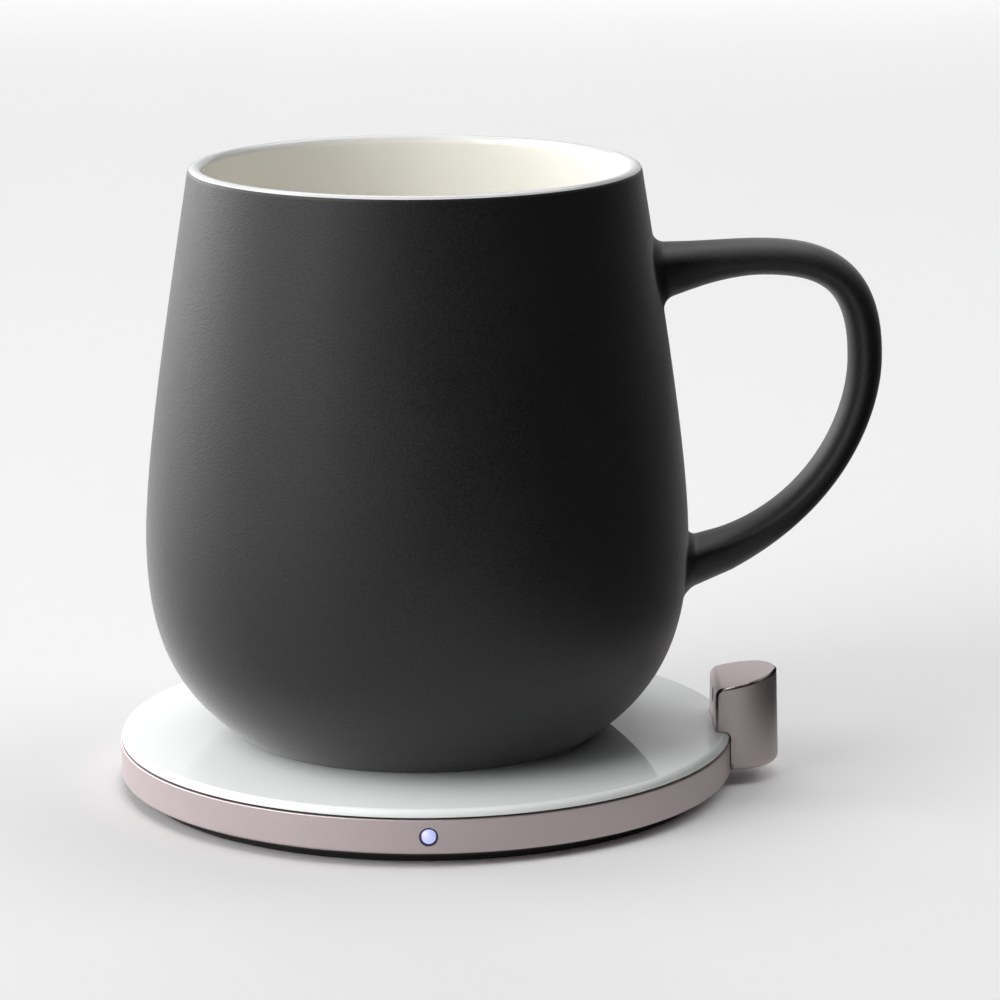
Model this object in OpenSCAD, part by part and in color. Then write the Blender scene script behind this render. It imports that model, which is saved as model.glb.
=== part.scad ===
// Self-heating mug that stands on a round induction pad with a sensor post at its edge.
// Sizes are millimetres. The Z axis is the pad's axis, z = 0 is the table, the post is at +X,
// the indicator light at -Y and the power socket at +Y.

/* [Mug] */
// Height from foot to lip
mug_height = 92.6; // [88:0.2:100]
// Outer radius just under the lip
rim_radius = 36.3; // [34:0.1:39]
// Outer radius at the widest place
belly_radius = 44; // [42:0.1:46]
// Height of the widest place above the foot
belly_height = 31.5; // [28:0.5:36]
// Outer radius of the foot
foot_radius = 29.3; // [27:0.1:31]
// Lean of the side where it leaves the foot, in degrees
foot_angle = 55.5; // [48:0.5:60]
// Lean of the side at the lip, in degrees
rim_angle = 9; // [6:0.5:12]
// How far the foot's lean carries into the base curve
foot_pull = 12.6; // [10:0.1:14]
// How far the upright belly carries down into the base curve
belly_pull_down = 16; // [13:0.1:19]
// How far the upright belly carries up into the side
belly_pull_up = 13.2; // [10:0.1:18]
// How far the lip's lean carries down into the side
rim_pull = 22; // [16:0.5:26]
// Thickness of the side at the belly
wall = 3.6; // [3:0.1:4.5]
// Thickness of the rounded lip
lip_thickness = 2.4; // [2:0.1:3]
// Thickness of the floor above the recess
mug_floor = 4.5; // [3.5:0.1:6]
// Radius of the flat part of the inner floor
inner_floor_radius = 20; // [16:0.5:22]
// How far the flat inner floor carries into the inner base curve
inner_floor_pull = 15; // [11:0.5:16]
// How far the upright inner belly carries down into the inner base curve
inner_belly_pull = 18; // [14:0.5:19]
// Width of the ring that the mug stands on
foot_ring_width = 4; // [3:0.1:6]
// Depth of the recess under the floor
foot_recess = 1; // [0.7:0.1:1.6]
// Thickness of the glaze that lines the mug
glaze_thickness = 0.35; // [0.25:0.05:0.5]
// Where the glaze ends on the lip, in degrees above the lip's outermost line
glaze_lap = 38; // [20:1:50]
// Thickness of the heating film under the floor
film_thickness = 0.3; // [0.2:0.05:0.5]
// Bare margin round the heating film
film_margin = 1.5; // [0.5:0.1:4]
// How far the mug stands off the pad's axis along X
mug_offset = -1.25; // [-2:0.25:1]

/* [Handle] */
// Height of the centreline at the upper joint
handle_top = 76.5; // [72:0.1:80]
// How far the centreline reaches past the belly
handle_out = 28.4; // [24:0.1:32]
// Height of the farthest point of the centreline
handle_out_height = 60.5; // [56:0.1:64]
// Height of the centreline at the lower joint
handle_low = 28.6; // [26:0.1:32]
// Rise of the lower arm where it leaves the body, in degrees
handle_low_angle = 10; // [6:0.5:16]
// Length of the level run of the upper arm's curve
handle_top_pull = 17; // [15:0.1:20]
// Length of the upright run above the farthest point
handle_corner_pull = 21.6; // [17:0.1:23]
// Length of the upright run below the farthest point
handle_back_pull = 11; // [8:0.1:14]
// Length of the straight run of the lower arm's curve
handle_low_pull = 20.7; // [17:0.1:24]
// Thickness of the loop at the upper joint, seen from the side
handle_thickness = 5.9; // [5:0.1:7]
// Thickness of the loop at its farthest point
handle_far_thickness = 5.5; // [4.8:0.1:6.5]
// Thickness of the loop at the lower joint
handle_low_thickness = 4.4; // [4:0.1:6]
// Width of the loop across the grip
handle_width = 10.6; // [9:0.1:13]
// Extra depth under the upper arm at the body
upper_flare = 3.8; // [2:0.1:6]
// Length of that flare
upper_flare_length = 17.2; // [12:0.1:20]
// Extra depth under the lower arm at the body
lower_flare = 3.8; // [1:0.1:5]
// Length of that flare
lower_flare_length = 27.2; // [18:0.1:30]
// Extra width on each side at the body
side_flare = 1.8; // [0.5:0.1:3]
// Length of that widening
side_flare_length = 10; // [6:0.5:14]
// How far the loop's ends run into the body before they are cut to it
handle_root = 3; // [2:0.5:3.5]

/* [Pad] */
// Outer radius of the rim ring
pad_radius = 50; // [49:0.25:54]
// Height of the rim ring
ring_height = 5.45; // [5.3:0.05:7]
// Height of the ring's lower edge above the table
ring_lift = 2; // [1.8:0.1:2.4]
// Thickness of the ring's wall
ring_wall = 2.4; // [2.2:0.1:3]
// Width of the ledge inside the ring
ledge_width = 2.1; // [1.6:0.1:3]
// Height of the ledge inside the ring
ledge_height = 0.95; // [0.8:0.05:1]
// Bevel on the ring's upper edge
ring_edge = 0.1; // [0.1:0.05:0.4]
// Radius of the rounding on the ring's lower edge
ring_low_edge = 0.4; // [0.2:0.05:0.6]
// Thickness of the glass plate
glass_thickness = 1.2; // [1.1:0.1:2]
// How far the glass stays inside the ring's outline
glass_inset = 0.2; // [0.1:0.05:0.5]
// Radius of the glass plate's top edge
glass_edge = 1; // [0.3:0.05:1]
// Thickness of the gasket between ring and glass
gasket_thickness = 0.3; // [0.25:0.05:0.5]
// How far the gasket stays inside the ring's outline
gasket_inset = 0.8; // [0.5:0.1:1.2]
// Width of the gasket
gasket_width = 3; // [2:0.1:3.6]
// Thickness of the base cover's floor
base_floor = 1.8; // [1.7:0.1:2.2]
// Thickness of the soft sole
sole_thickness = 1; // [0.8:0.1:1.2]
// How far the sole stays inside the base cover
sole_inset = 0.5; // [0.4:0.1:2]

/* [Screws] */
// Shank diameter of the base and carrier screws
screw_d = 2; // [1.8:0.1:2.2]
// Head diameter of those screws
head_d = 3.8; // [3.4:0.1:4]
// Head height of those screws
head_h = 1; // [0.8:0.05:1.1]
// Depth that a base screw reaches into the ring's lug
lug_grip = 2.8; // [2:0.1:3]
// Depth that a carrier screw reaches into the carrier's boss
carrier_grip = 1.8; // [1.4:0.1:2]
// Diameter of the ring's lugs and of the carrier's bosses
boss_d = 5.2; // [5:0.1:6]
// Height of the base cover's seats under the lugs
seat_height = 0.6; // [0.4:0.1:1]
// Number of base screws
base_screw_count = 4; // [3:1:4]
// Distance of the carrier screws from the axis
carrier_screw_radius = 18; // [15:0.5:20]

/* [Coil] */
// Radius of the innermost loop
coil_inner = 9.5; // [9:0.1:11]
// Radius of the outermost loop
coil_outer = 23.5; // [22.5:0.1:25]
// Number of loops
coil_turns = 10.25; // [7.25:1:10.25]
// Wire diameter
wire_d = 0.9; // [0.7:0.05:0.9]
// Gap between the coil and the glass
coil_gap = 0.7; // [0.5:0.1:1]
// Thickness of the ferrite disc
ferrite_thickness = 0.6; // [0.4:0.1:0.8]
// Radius of the hole in the ferrite disc
ferrite_hole = 7; // [6:0.1:8]
// Thickness of the carrier's plate
carrier_plate = 0.8; // [0.6:0.1:1]
// Thickness of the carrier's rim
carrier_rim = 1.1; // [0.8:0.1:1.5]
// Diameter of the hub that holds the thermistor
hub_d = 5; // [4.4:0.1:6]
// Diameter of the thermistor bead
thermistor_d = 2.2; // [1.8:0.1:2.6]
// Height of the thermistor bead
thermistor_h = 1.4; // [1:0.1:1.8]
// Diameter of the thermistor's leads
lead_d = 0.5; // [0.4:0.05:0.6]

/* [Board] */
// Thickness of the circuit board
board_thickness = 1; // [0.8:0.1:1.2]
// Height of the pegs' shoulders that carry the board
board_lift = 0.3; // [0.2:0.05:0.4]
// Space between the carrier's rim and the board, where the coil's lead comes down
board_clear = 4; // [3:0.1:5]
// Distance between the board and the rim ring's bore
board_margin = 2.8; // [2.4:0.1:3.4]
// Diameter of the pegs that hold the board
peg_d = 1.8; // [1.5:0.1:2.2]
// Side of the power inductor
inductor_side = 7; // [6:0.5:8]
// Height of the power inductor
inductor_height = 2.8; // [2:0.1:3]
// Side of the driver chips
chip_side = 5; // [4:0.5:6]
// Height of the driver chips
chip_height = 0.9; // [0.7:0.1:1.2]
// Diameter of the capacitors
capacitor_d = 4; // [3:0.1:5]
// Height of the capacitors
capacitor_height = 2.6; // [1.8:0.1:3]

/* [Socket] */
// Width of the socket's shell
socket_width = 8.94; // [8.6:0.02:9.2]
// Height of the socket's shell
socket_height = 3.26; // [2.8:0.02:3.3]
// Depth of the socket's shell
socket_depth = 7.35; // [6.5:0.05:8]
// Sheet thickness of the shell
socket_sheet = 0.3; // [0.2:0.05:0.4]
// Width of the contact tongue
tongue_width = 6.7; // [6:0.1:7]
// Thickness of the contact tongue
tongue_thickness = 0.7; // [0.5:0.05:0.9]
// Length of the contact tongue
tongue_length = 4.6; // [4:0.1:5]
// How far the shell's mouth lies inside the ring's outline
mouth_inset = 0.8; // [0.5:0.1:1.5]

/* [Light] */
// Height of the light above the ring's lower edge
light_height = 2.8; // [2.6:0.05:3]
// Diameter of the light pipe
pipe_d = 2.15; // [2:0.05:2.4]
// Wall of the dark surround
surround_wall = 0.2; // [0.15:0.05:0.4]
// How far the light pipe's dome stands out of the ring
dome_height = 0.45; // [0.3:0.05:0.6]
// Width of the light source
lamp_width = 2; // [1.4:0.1:2.4]
// Depth of the light source
lamp_depth = 1.2; // [0.8:0.1:1.4]
// Height of the light source
lamp_height = 1.3; // [1:0.1:1.5]

/* [Post] */
// Radius of the post at its top
post_radius = 7.65; // [7.2:0.05:8.5]
// How much wider the post is at its foot, as a radius
post_draft = 0.4; // [0.2:0.05:0.6]
// How far the post's axis lies inside the ring's outline
post_inset = 0.2; // [0:0.05:0.4]
// Distance from the post's axis to the flat
post_flat = 2.75; // [2.2:0.05:3.2]
// Height of the post's top above the glass, on its axis
post_rise = 7.65; // [7.4:0.05:9]
// Slope of the top, in degrees
post_slope = 11.3; // [8:0.1:12]
// Height of the post's foot above the ring's lower edge
post_lift = 0.45; // [0.2:0.05:0.8]
// Radius of the rounding between the top and the flat
post_corner = 1.5; // [0.6:0.05:1.6]
// Radius of the rounding round the post's foot
post_foot_edge = 1.2; // [0.4:0.05:1.3]
// Gap between the post and the ring and glass
post_gap = 0.15; // [0.1:0.05:0.3]
// Wall of the post
post_wall = 1.2; // [1:0.05:1.4]
// Height of the sensor's axis above the glass
sensor_height = 4.35; // [4:0.05:4.6]
// Diameter of the sensor's hole
sensor_hole_d = 2.4; // [2:0.1:2.8]
// How deep the window lies in its hole
window_recess = 0.25; // [0.1:0.05:0.4]
// Thickness of the window
window_thickness = 0.6; // [0.4:0.05:0.8]
// Side of the sensor's body
sensor_side = 3; // [2.6:0.1:3.2]
// Depth of the sensor's body
sensor_depth = 1.5; // [1.2:0.1:1.8]
// Width of the sensor board
sensor_board_width = 8; // [7:0.1:8.4]
// Thickness of the sensor board
sensor_board_thickness = 0.6; // [0.4:0.05:0.8]
// Width of the ribbon
ribbon_width = 3; // [2.4:0.1:3.2]
// Thickness of the ribbon
ribbon_thickness = 0.25; // [0.2:0.05:0.3]
// Shank diameter of the post screws
post_screw_d = 1.6; // [1.4:0.1:1.8]
// Head diameter of the post screws
post_head_d = 2.8; // [2.4:0.1:2.8]
// Head height of the post screws
post_head_h = 0.8; // [0.6:0.05:1]
// Depth that a post screw reaches into the post
post_grip = 3; // [2.4:0.1:3.4]
// Distance of each post screw from the post's middle plane
post_screw_y = 4; // [3.8:0.1:4.4]

/* [Fits] */
// Clearance between pieces that slide into each other
slip = 0.1; // [0.08:0.01:0.14]
// Clearance between pieces that rest on each other
rest = 0.03; // [0.01:0.01:0.05]

/* [Hidden] */
$fn = 96;
// A cut runs this far past the face that it opens
past = 1;
// Steps of each curve of the mug and of the handle, and sides of the handle's section
mug_steps = 14;
lip_steps = 10;
handle_steps = 22;
handle_sides = 24;
// Rings per loop and sides of the coil's wire
wire_rings = 24;
wire_sides = 6;
// Sides of the leads
lead_sides = 8;

// Heights of the pad's layers
ring_top = ring_lift + ring_height;
glass_bottom = ring_top + gasket_thickness;
glass_surface = glass_bottom + glass_thickness;
base_top = sole_thickness + base_floor;
ring_bore = pad_radius - ring_wall;
base_radius = ring_bore - slip;
ledge_bottom = ring_top - ledge_height;

// Screws of the base: the heads lie in pockets above the sole
head_pocket = head_h + slip;
head_seat = sole_thickness + head_pocket;
seat_top = base_top + seat_height;
lug_bottom = seat_top + rest;
lug_top = ring_top - slip;
lug_radius = base_radius - sole_inset - head_d / 2 - 4 * slip;
lug_turn = 45;
screw_hole = screw_d + slip;
head_hole = head_d + 2 * slip;

// Coil stack, from the glass down
coil_z = glass_bottom - coil_gap - wire_d / 2;
ferrite_top = coil_z - wire_d / 2 - rest;
ferrite_bottom = ferrite_top - ferrite_thickness;
plate_top = ferrite_bottom - rest;
plate_bottom = plate_top - carrier_plate;
ferrite_radius = coil_outer + wire_d / 2;
carrier_bore = ferrite_radius + slip;
carrier_radius = carrier_bore + carrier_rim;
carrier_boss_turns = [90, 210, 330];
thermistor_top = glass_bottom - rest;
hub_top = thermistor_top - thermistor_h - rest;

// Board and socket
board_bottom = base_top + board_lift;
board_top = board_bottom + board_thickness;
board_outer = ring_bore - board_margin;
board_inner = carrier_radius + board_clear;
board_middle = (board_outer + board_inner) / 2;
peg_turns = [20, 110, 200, 290];
inductor_turn = 150;
chip_turns = [60, 172];
capacitor_turns = [236, 246, 256, 304];
peg_radius = board_inner + 2 * peg_d;
solder = rest;
socket_z = base_top + socket_height / 2 + slip;
socket_front = pad_radius - mouth_inset;
socket_back = socket_front - socket_depth;

// Leads run in the space between the carrier and the base cover
lead_z = (plate_bottom + base_top) / 2;
coil_lead_rise = board_inner - wire_d;
coil_lead_end = board_inner + 2 * wire_d;
coil_lead_y = -3.5;
coil_lead_in = 5;
coil_lead_out_x = -3;
thermistor_lead_y = 0.6;
thermistor_lead_rise = board_inner - lead_d;
thermistor_lead_end = board_inner + 3 * lead_d;

// Light
light_z = ring_lift + light_height;
surround_d = pipe_d + 2 * slip + 2 * surround_wall;
lamp_face = board_outer - slip;
pipe_end = lamp_face + slip;

// Post
post_x = pad_radius - post_inset;
post_bottom = ring_lift + post_lift;
post_face = post_x - post_flat;
post_top = glass_surface + post_rise;
post_crown = post_top + (post_radius + past) * tan(post_slope);
post_hollow = post_radius - post_wall;
overhang_bottom = glass_surface + post_gap;
ring_clear = pad_radius + post_gap;
notch_edge = glass_edge + post_gap;
well_x = ring_clear + post_wall;
well_far = post_x + post_hollow - post_wall;
well_half = ribbon_width / 2 + 2 * slip;
chamber_face = post_face + post_wall;
chamber_bottom = overhang_bottom + post_wall;
chamber_half = sensor_board_width / 2 + slip;
sensor_z = glass_surface + sensor_height;
chamber_top = sensor_z + sensor_side / 2 + slip;
window_face = post_face + window_recess;
sensor_face = chamber_face + slip;
sensor_back = sensor_face + sensor_depth;
sensor_board_face = sensor_back + rest;
sensor_board_back = sensor_board_face + sensor_board_thickness;
cap_height = post_wall;
post_screw_z = ring_lift + ring_height / 2 - slip;
post_head_seat = ring_bore + 3 * slip;
post_screw_end = ring_clear + post_grip;
ribbon_z = post_screw_z;
ribbon_slot = ribbon_thickness + 2 * slip;
ribbon_down_x = well_x + ribbon_thickness;
ribbon_turn_z = chamber_bottom + ribbon_thickness;

// Curves: a point and a direction on a cubic with four control points
function on_curve(p, t) =
    pow(1 - t, 3) * p[0] + 3 * t * pow(1 - t, 2) * p[1] + 3 * t * t * (1 - t) * p[2] + pow(t, 3) * p[3];
function along_curve(p, t) =
    pow(1 - t, 2) * (p[1] - p[0]) + 2 * t * (1 - t) * (p[2] - p[1]) + t * t * (p[3] - p[2]);
function curve(p, n, first = 0) = [for (i = [first:n]) on_curve(p, i / n)];
function arc(centre, r, from, to, n) =
    [for (i = [0:n]) let (a = from + (to - from) * i / n) centre + r * [cos(a), sin(a)]];
function unit(v) = v / norm(v);
function between(a, b, share) = a + (b - a) * share;
function reversed(list) = [for (i = [len(list) - 1:-1:0]) list[i]];

// Outline of the mug in its own frame: radius, then height above the foot
lip_radius = lip_thickness / 2;
lean_in = [sin(rim_angle), -cos(rim_angle)];
lip_out = [cos(rim_angle), sin(rim_angle)];
side_end = [rim_radius, mug_height - lip_radius];
lip_centre = side_end - lip_radius * lip_out;
floor_height = foot_recess + mug_floor;
base_curve = [
    [foot_radius, 0],
    [foot_radius, 0] + foot_pull * [sin(foot_angle), cos(foot_angle)],
    [belly_radius, belly_height - belly_pull_down],
    [belly_radius, belly_height]
];
side_curve = [
    [belly_radius, belly_height],
    [belly_radius, belly_height + belly_pull_up],
    side_end + rim_pull * lean_in,
    side_end
];
outer_line = concat(curve(base_curve, mug_steps), curve(side_curve, mug_steps, 1));
// Inner line from the glaze's end on the lip down to the axis, moved into the wall by depth
function inner_line(depth) =
    let (
        r = lip_radius - depth,
        start = lip_centre - r * lip_out,
        belly = [belly_radius - wall + depth, belly_height],
        floor_edge = [inner_floor_radius, floor_height - depth],
        side = [start, start + rim_pull * lean_in, belly + [0, belly_pull_up], belly],
        base = [belly, belly - [0, inner_belly_pull], floor_edge + [inner_floor_pull, 0], floor_edge]
    )
    concat(
        arc(lip_centre, r, glaze_lap, 180 + rim_angle, lip_steps),
        curve(side, mug_steps, 1),
        curve(base, mug_steps, 1),
        [[0, floor_height - depth]]
    );
radius_by_height = [for (p = outer_line) [p[1], p[0]]];
function body_radius(z) = lookup(z, radius_by_height);
recess_radius = foot_radius - foot_ring_width;

// Handle: stations along the loop, each with a place, a direction and the flares there
upper_start = [body_radius(handle_top), handle_top];
lower_end = [body_radius(handle_low), handle_low];
far_point = [belly_radius + handle_out, handle_out_height];
low_way = [cos(handle_low_angle), sin(handle_low_angle)];
upper_curve = [
    upper_start,
    upper_start + [handle_top_pull, 0],
    far_point + [0, handle_corner_pull],
    far_point
];
lower_curve = [
    far_point,
    far_point - [0, handle_back_pull],
    lower_end + handle_low_pull * low_way,
    lower_end
];
stations = concat(
    [[upper_start - [handle_root, 0], [1, 0]]],
    [for (i = [0:handle_steps]) [on_curve(upper_curve, i / handle_steps),
        unit(along_curve(upper_curve, i / handle_steps))]],
    [for (i = [1:handle_steps]) [on_curve(lower_curve, i / handle_steps),
        unit(along_curve(lower_curve, i / handle_steps))]],
    [[lower_end - handle_root * low_way, -low_way]]
);
function flare(size, distance, length) = size * pow(max(0, 1 - max(0, distance) / length), 2);
function handle_ring(i) =
    let (
        place = stations[i][0],
        way = stations[i][1],
        upper = i <= handle_steps + 1,
        share = min(1, max(0, i - 1 - (upper ? 0 : handle_steps)) / handle_steps),
        thickness = upper ? between(handle_thickness, handle_far_thickness, share)
            : between(handle_far_thickness, handle_low_thickness, share),
        from_body = place[0] - (upper ? upper_start[0] : lower_end[0]),
        outward = thickness / 2 + (upper ? 0 : flare(lower_flare, from_body, lower_flare_length)),
        inward = thickness / 2 + (upper ? flare(upper_flare, from_body, upper_flare_length) : 0),
        half = handle_width / 2 + flare(side_flare, from_body, side_flare_length),
        normal = [-way[1], way[0]]
    )
    [for (k = [0:handle_sides - 1])
        let (
            a = 360 * k / handle_sides,
            p = place + normal * cos(a) * (cos(a) > 0 ? outward : inward)
        )
        [p[0], half * sin(a), p[1]]
    ];

// A tube of rings: faces between neighbouring rings and a fan over each end
function tube_faces(rings, sides) = concat(
    [for (i = [0:rings - 2], k = [0:sides - 1])
        [i * sides + k, i * sides + (k + 1) % sides, (i + 1) * sides + k]],
    [for (i = [0:rings - 2], k = [0:sides - 1])
        [i * sides + (k + 1) % sides, (i + 1) * sides + (k + 1) % sides, (i + 1) * sides + k]],
    [for (k = [1:sides - 2]) [0, k + 1, k]],
    [for (k = [1:sides - 2]) (rings - 1) * sides * [1, 1, 1] + [0, k, k + 1]]
);

// Rings of a wire from place i on: the ring before is carried along to the bend's mitre plane
function wire_rings_from(places, i, ring) =
    i == len(places) ? [] :
    let (
        way = unit(places[i] - places[i - 1]),
        next_way = i == len(places) - 1 ? way : unit(places[i + 1] - places[i]),
        mitre = unit(way + next_way),
        moved = [for (q = ring) q + way * ((places[i] - q) * mitre) / (way * mitre)]
    )
    concat(moved, wire_rings_from(places, i + 1, moved));

// Coil: a flat spiral whose ends run straight for one wire diameter
coil_pitch = (coil_outer - coil_inner) / coil_turns;
coil_rings = floor(coil_turns * wire_rings);
function spiral_point(i) =
    let (a = 360 * i / wire_rings, r = coil_inner + coil_pitch * a / 360) [r * cos(a), r * sin(a)];
function spiral_way(i) =
    let (a = 360 * i / wire_rings, r = coil_inner + coil_pitch * a / 360)
    unit(coil_pitch / (2 * PI) * [cos(a), sin(a)] + r * [-sin(a), cos(a)]);
coil_start = spiral_point(0) - wire_d * spiral_way(0);
coil_end = spiral_point(coil_rings) + wire_d * spiral_way(coil_rings);
coil_stations = concat(
    [[coil_start, spiral_way(0)]],
    [for (i = [0:coil_rings]) [spiral_point(i), spiral_way(i)]],
    [[coil_end, spiral_way(coil_rings)]]
);
function coil_ring(i) =
    let (place = coil_stations[i][0], way = coil_stations[i][1], side = [way[1], -way[0]])
    [for (k = [0:wire_sides - 1])
        let (a = 360 * k / wire_sides, p = place + side * cos(a) * wire_d / 2)
        [p[0], p[1], coil_z + sin(a) * wire_d / 2]
    ];
coil_least_gap = min([for (i = [0:coil_rings - wire_rings], j = [-2:2])
    let (other = i + wire_rings + j)
    norm(spiral_point(i) - spiral_point(min(other, coil_rings))) - wire_d]);
echo(coil_least_gap = coil_least_gap);

// Shared shapes
module at_mug() {
    translate([mug_offset, 0, glass_surface]) children();
}

module polar(turn, r) {
    rotate(turn) translate([r, 0, 0]) children();
}

module each_lug() {
    for (i = [0:base_screw_count - 1]) polar(lug_turn + 360 * i / base_screw_count, lug_radius) children();
}

module each_carrier_boss() {
    for (turn = carrier_boss_turns) polar(turn, carrier_screw_radius) children();
}

module disc(r, from, to) {
    translate([0, 0, from]) cylinder(r = r, h = to - from);
}

module tube(outer, inner, from, to) {
    difference() {
        disc(outer, from, to);
        disc(inner, from - past, to + past);
    }
}

// A block between two corners
module block(low, high) {
    translate(low) cube(high - low);
}

// A screw that points up from the seat of its head, with a cross in the head
module screw(shank, head, head_height, length) {
    slot = head / 5;
    difference() {
        union() {
            translate([0, 0, -head_height]) cylinder(d = head, h = head_height);
            cylinder(d = shank, h = length);
        }
        for (turn = [0, 90])
            rotate(turn)
                translate([-head / 3, -slot / 2, -head_height - past])
                    cube([head * 2 / 3, slot, past + head_height / 2]);
    }
}

// A wire through a list of places, mitred at each bend
module wire(places, d) {
    first_way = unit(places[1] - places[0]);
    across = abs(first_way[2]) > 0.5 ? [1, 0, 0] : [0, 0, 1];
    beside = cross(across, first_way);
    first_ring = [for (k = [0:lead_sides - 1])
        let (a = 360 * k / lead_sides)
        places[0] + d / 2 * (across * cos(a) + beside * sin(a))
    ];
    points = concat(first_ring, wire_rings_from(places, 1, first_ring));
    polyhedron(points, tube_faces(len(places), lead_sides));
}

// A flat strip in the XZ plane through a list of places, square at its ends
module strip(places, thickness, width) {
    rotate([90, 0, 0])
        linear_extrude(height = width, center = true)
            for (i = [0:len(places) - 2]) {
                step = places[i + 1] - places[i];
                translate(places[i])
                    rotate(atan2(step[1], step[0]))
                        translate([-thickness / 2, -thickness / 2])
                            square([norm(step) + thickness, thickness]);
            }
}

// A bar along Y with half-round sides
module round_bar(width, height, from, to) {
    straight = width - height;
    translate([-straight / 2, from, -height / 2]) cube([straight, to - from, height]);
    for (side = [-1, 1])
        translate([side * straight / 2, to, 0])
            rotate([90, 0, 0]) cylinder(d = height, h = to - from);
}

// The mug as if it were solid, for cutting the handle to it
module mug_solid() {
    rotate_extrude() polygon(concat([[0, 0]], outer_line, [[0, side_end[1]]]));
}

// The post's outline: a tapered cylinder with a flat and a sloping top, clear of the pad
module post_outline() {
    foot_out = post_radius + post_draft;
    reach = 2 * post_radius;
    corner_x = post_face + post_corner;
    corner_z = post_top + (corner_x - post_x) * tan(post_slope) - post_corner / cos(post_slope);
    difference() {
        intersection() {
            translate([post_x, 0, post_bottom]) rotate_extrude() polygon(concat(
                [[0, 0]],
                arc([foot_out - post_foot_edge, post_foot_edge], post_foot_edge, -90, 0, lip_steps),
                [[post_radius, post_crown - post_bottom], [0, post_crown - post_bottom]]
            ));
            rotate([90, 0, 0]) linear_extrude(height = 2 * reach, center = true) polygon(concat(
                [[post_face, post_bottom - past]],
                arc([corner_x, corner_z], post_corner, 180, 90 + post_slope, lip_steps),
                [[post_x + reach, post_top + reach * tan(post_slope)], [post_x + reach, post_bottom - past]]
            ));
        }
        rotate_extrude() polygon(concat(
            [[0, post_bottom - past], [ring_clear, post_bottom - past]],
            arc([ring_clear - notch_edge, overhang_bottom - notch_edge], notch_edge, 0, 90, lip_steps),
            [[0, overhang_bottom]]
        ));
    }
}

// Mug
module mug_body() {
    color("#2b2a2c") at_mug() rotate_extrude() polygon(concat(
        outer_line,
        arc(lip_centre, lip_radius, rim_angle, glaze_lap, lip_steps),
        inner_line(glaze_thickness),
        [[0, foot_recess], [recess_radius, foot_recess], [recess_radius, 0]]
    ));
}

module mug_glaze() {
    color("#ece8dd") at_mug() rotate_extrude()
        polygon(concat(inner_line(0), reversed(inner_line(glaze_thickness))));
}

module mug_handle() {
    rings = len(stations);
    color("#2b2a2c") at_mug() difference() {
        polyhedron([for (i = [0:rings - 1]) each handle_ring(i)], tube_faces(rings, handle_sides));
        mug_solid();
    }
}

module heating_film() {
    color("#8d8f94") at_mug()
        disc(recess_radius - film_margin, foot_recess - film_thickness, foot_recess);
}

// Pad
module glass_top() {
    r = pad_radius - glass_inset;
    color("#e4e8e5") rotate_extrude() polygon(concat(
        [[0, glass_bottom], [r, glass_bottom]],
        arc([r - glass_edge, glass_surface - glass_edge], glass_edge, 0, 90, lip_steps),
        [[0, glass_surface]]
    ));
}

module glass_gasket() {
    outer = pad_radius - gasket_inset;
    color("#161616") tube(outer, outer - gasket_width, ring_top, glass_bottom);
}

module rim_ring() {
    color("#b8a9ac") difference() {
        union() {
            rotate_extrude() polygon(concat(
                [[ring_bore, ring_lift]],
                arc([pad_radius - ring_low_edge, ring_lift + ring_low_edge],
                    ring_low_edge, -90, 0, lip_steps),
                [
                    [pad_radius, ring_top - ring_edge],
                    [pad_radius - ring_edge, ring_top],
                    [ring_bore - ledge_width, ring_top],
                    [ring_bore - ledge_width, ledge_bottom],
                    [ring_bore, ledge_bottom]
                ]
            ));
            each_lug() {
                disc(boss_d / 2, lug_bottom, lug_top);
                block([0, -boss_d / 3, lug_bottom],
                    [ring_bore + slip - lug_radius, boss_d / 3, lug_top - slip]);
            }
        }
        each_lug() disc(screw_hole / 2, lug_bottom - past, lug_bottom + lug_grip + slip);
        translate([0, 0, socket_z])
            round_bar(socket_width + 2 * slip, socket_height + 2 * slip,
                ring_bore - ledge_width - past, pad_radius + past);
        translate([0, -ring_bore + past, light_z]) rotate([90, 0, 0])
            cylinder(d = surround_d + 2 * slip, h = ring_wall + 2 * past);
        for (side = [-1, 1]) translate([0, side * post_screw_y, post_screw_z]) rotate([0, 90, 0]) {
            cylinder(d = post_screw_d + slip, h = pad_radius + past);
            cylinder(d = post_head_d + 2 * slip, h = post_head_seat);
        }
        block([0, -ribbon_width / 2 - slip, ribbon_z - ribbon_slot / 2],
            [pad_radius + past, ribbon_width / 2 + slip, ribbon_z + ribbon_slot / 2]);
    }
}

module base_cover() {
    color("#1c1c1d") difference() {
        union() {
            disc(base_radius, sole_thickness, base_top);
            each_lug() disc(boss_d / 2, base_top - rest, seat_top);
            for (turn = peg_turns) polar(turn, peg_radius) {
                disc(peg_d, base_top - rest, board_bottom);
                disc(peg_d / 2, board_bottom - rest, board_top + peg_d / 2);
            }
        }
        each_lug() base_screw_hole();
        each_carrier_boss() base_screw_hole();
    }
}

module base_screw_hole() {
    disc(head_hole / 2, sole_thickness - past, head_seat);
    disc(screw_hole / 2, sole_thickness, seat_top + past);
}

module silicone_sole() {
    color("#121213") disc(base_radius - sole_inset, 0, sole_thickness);
}

module base_screws() {
    color("#9a9da1") each_lug() translate([0, 0, head_seat])
        screw(screw_d, head_d, head_h, lug_bottom + lug_grip - head_seat);
}

module carrier_screws() {
    color("#9a9da1") each_carrier_boss() translate([0, 0, head_seat])
        screw(screw_d, head_d, head_h, base_top + carrier_grip - head_seat);
}

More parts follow.
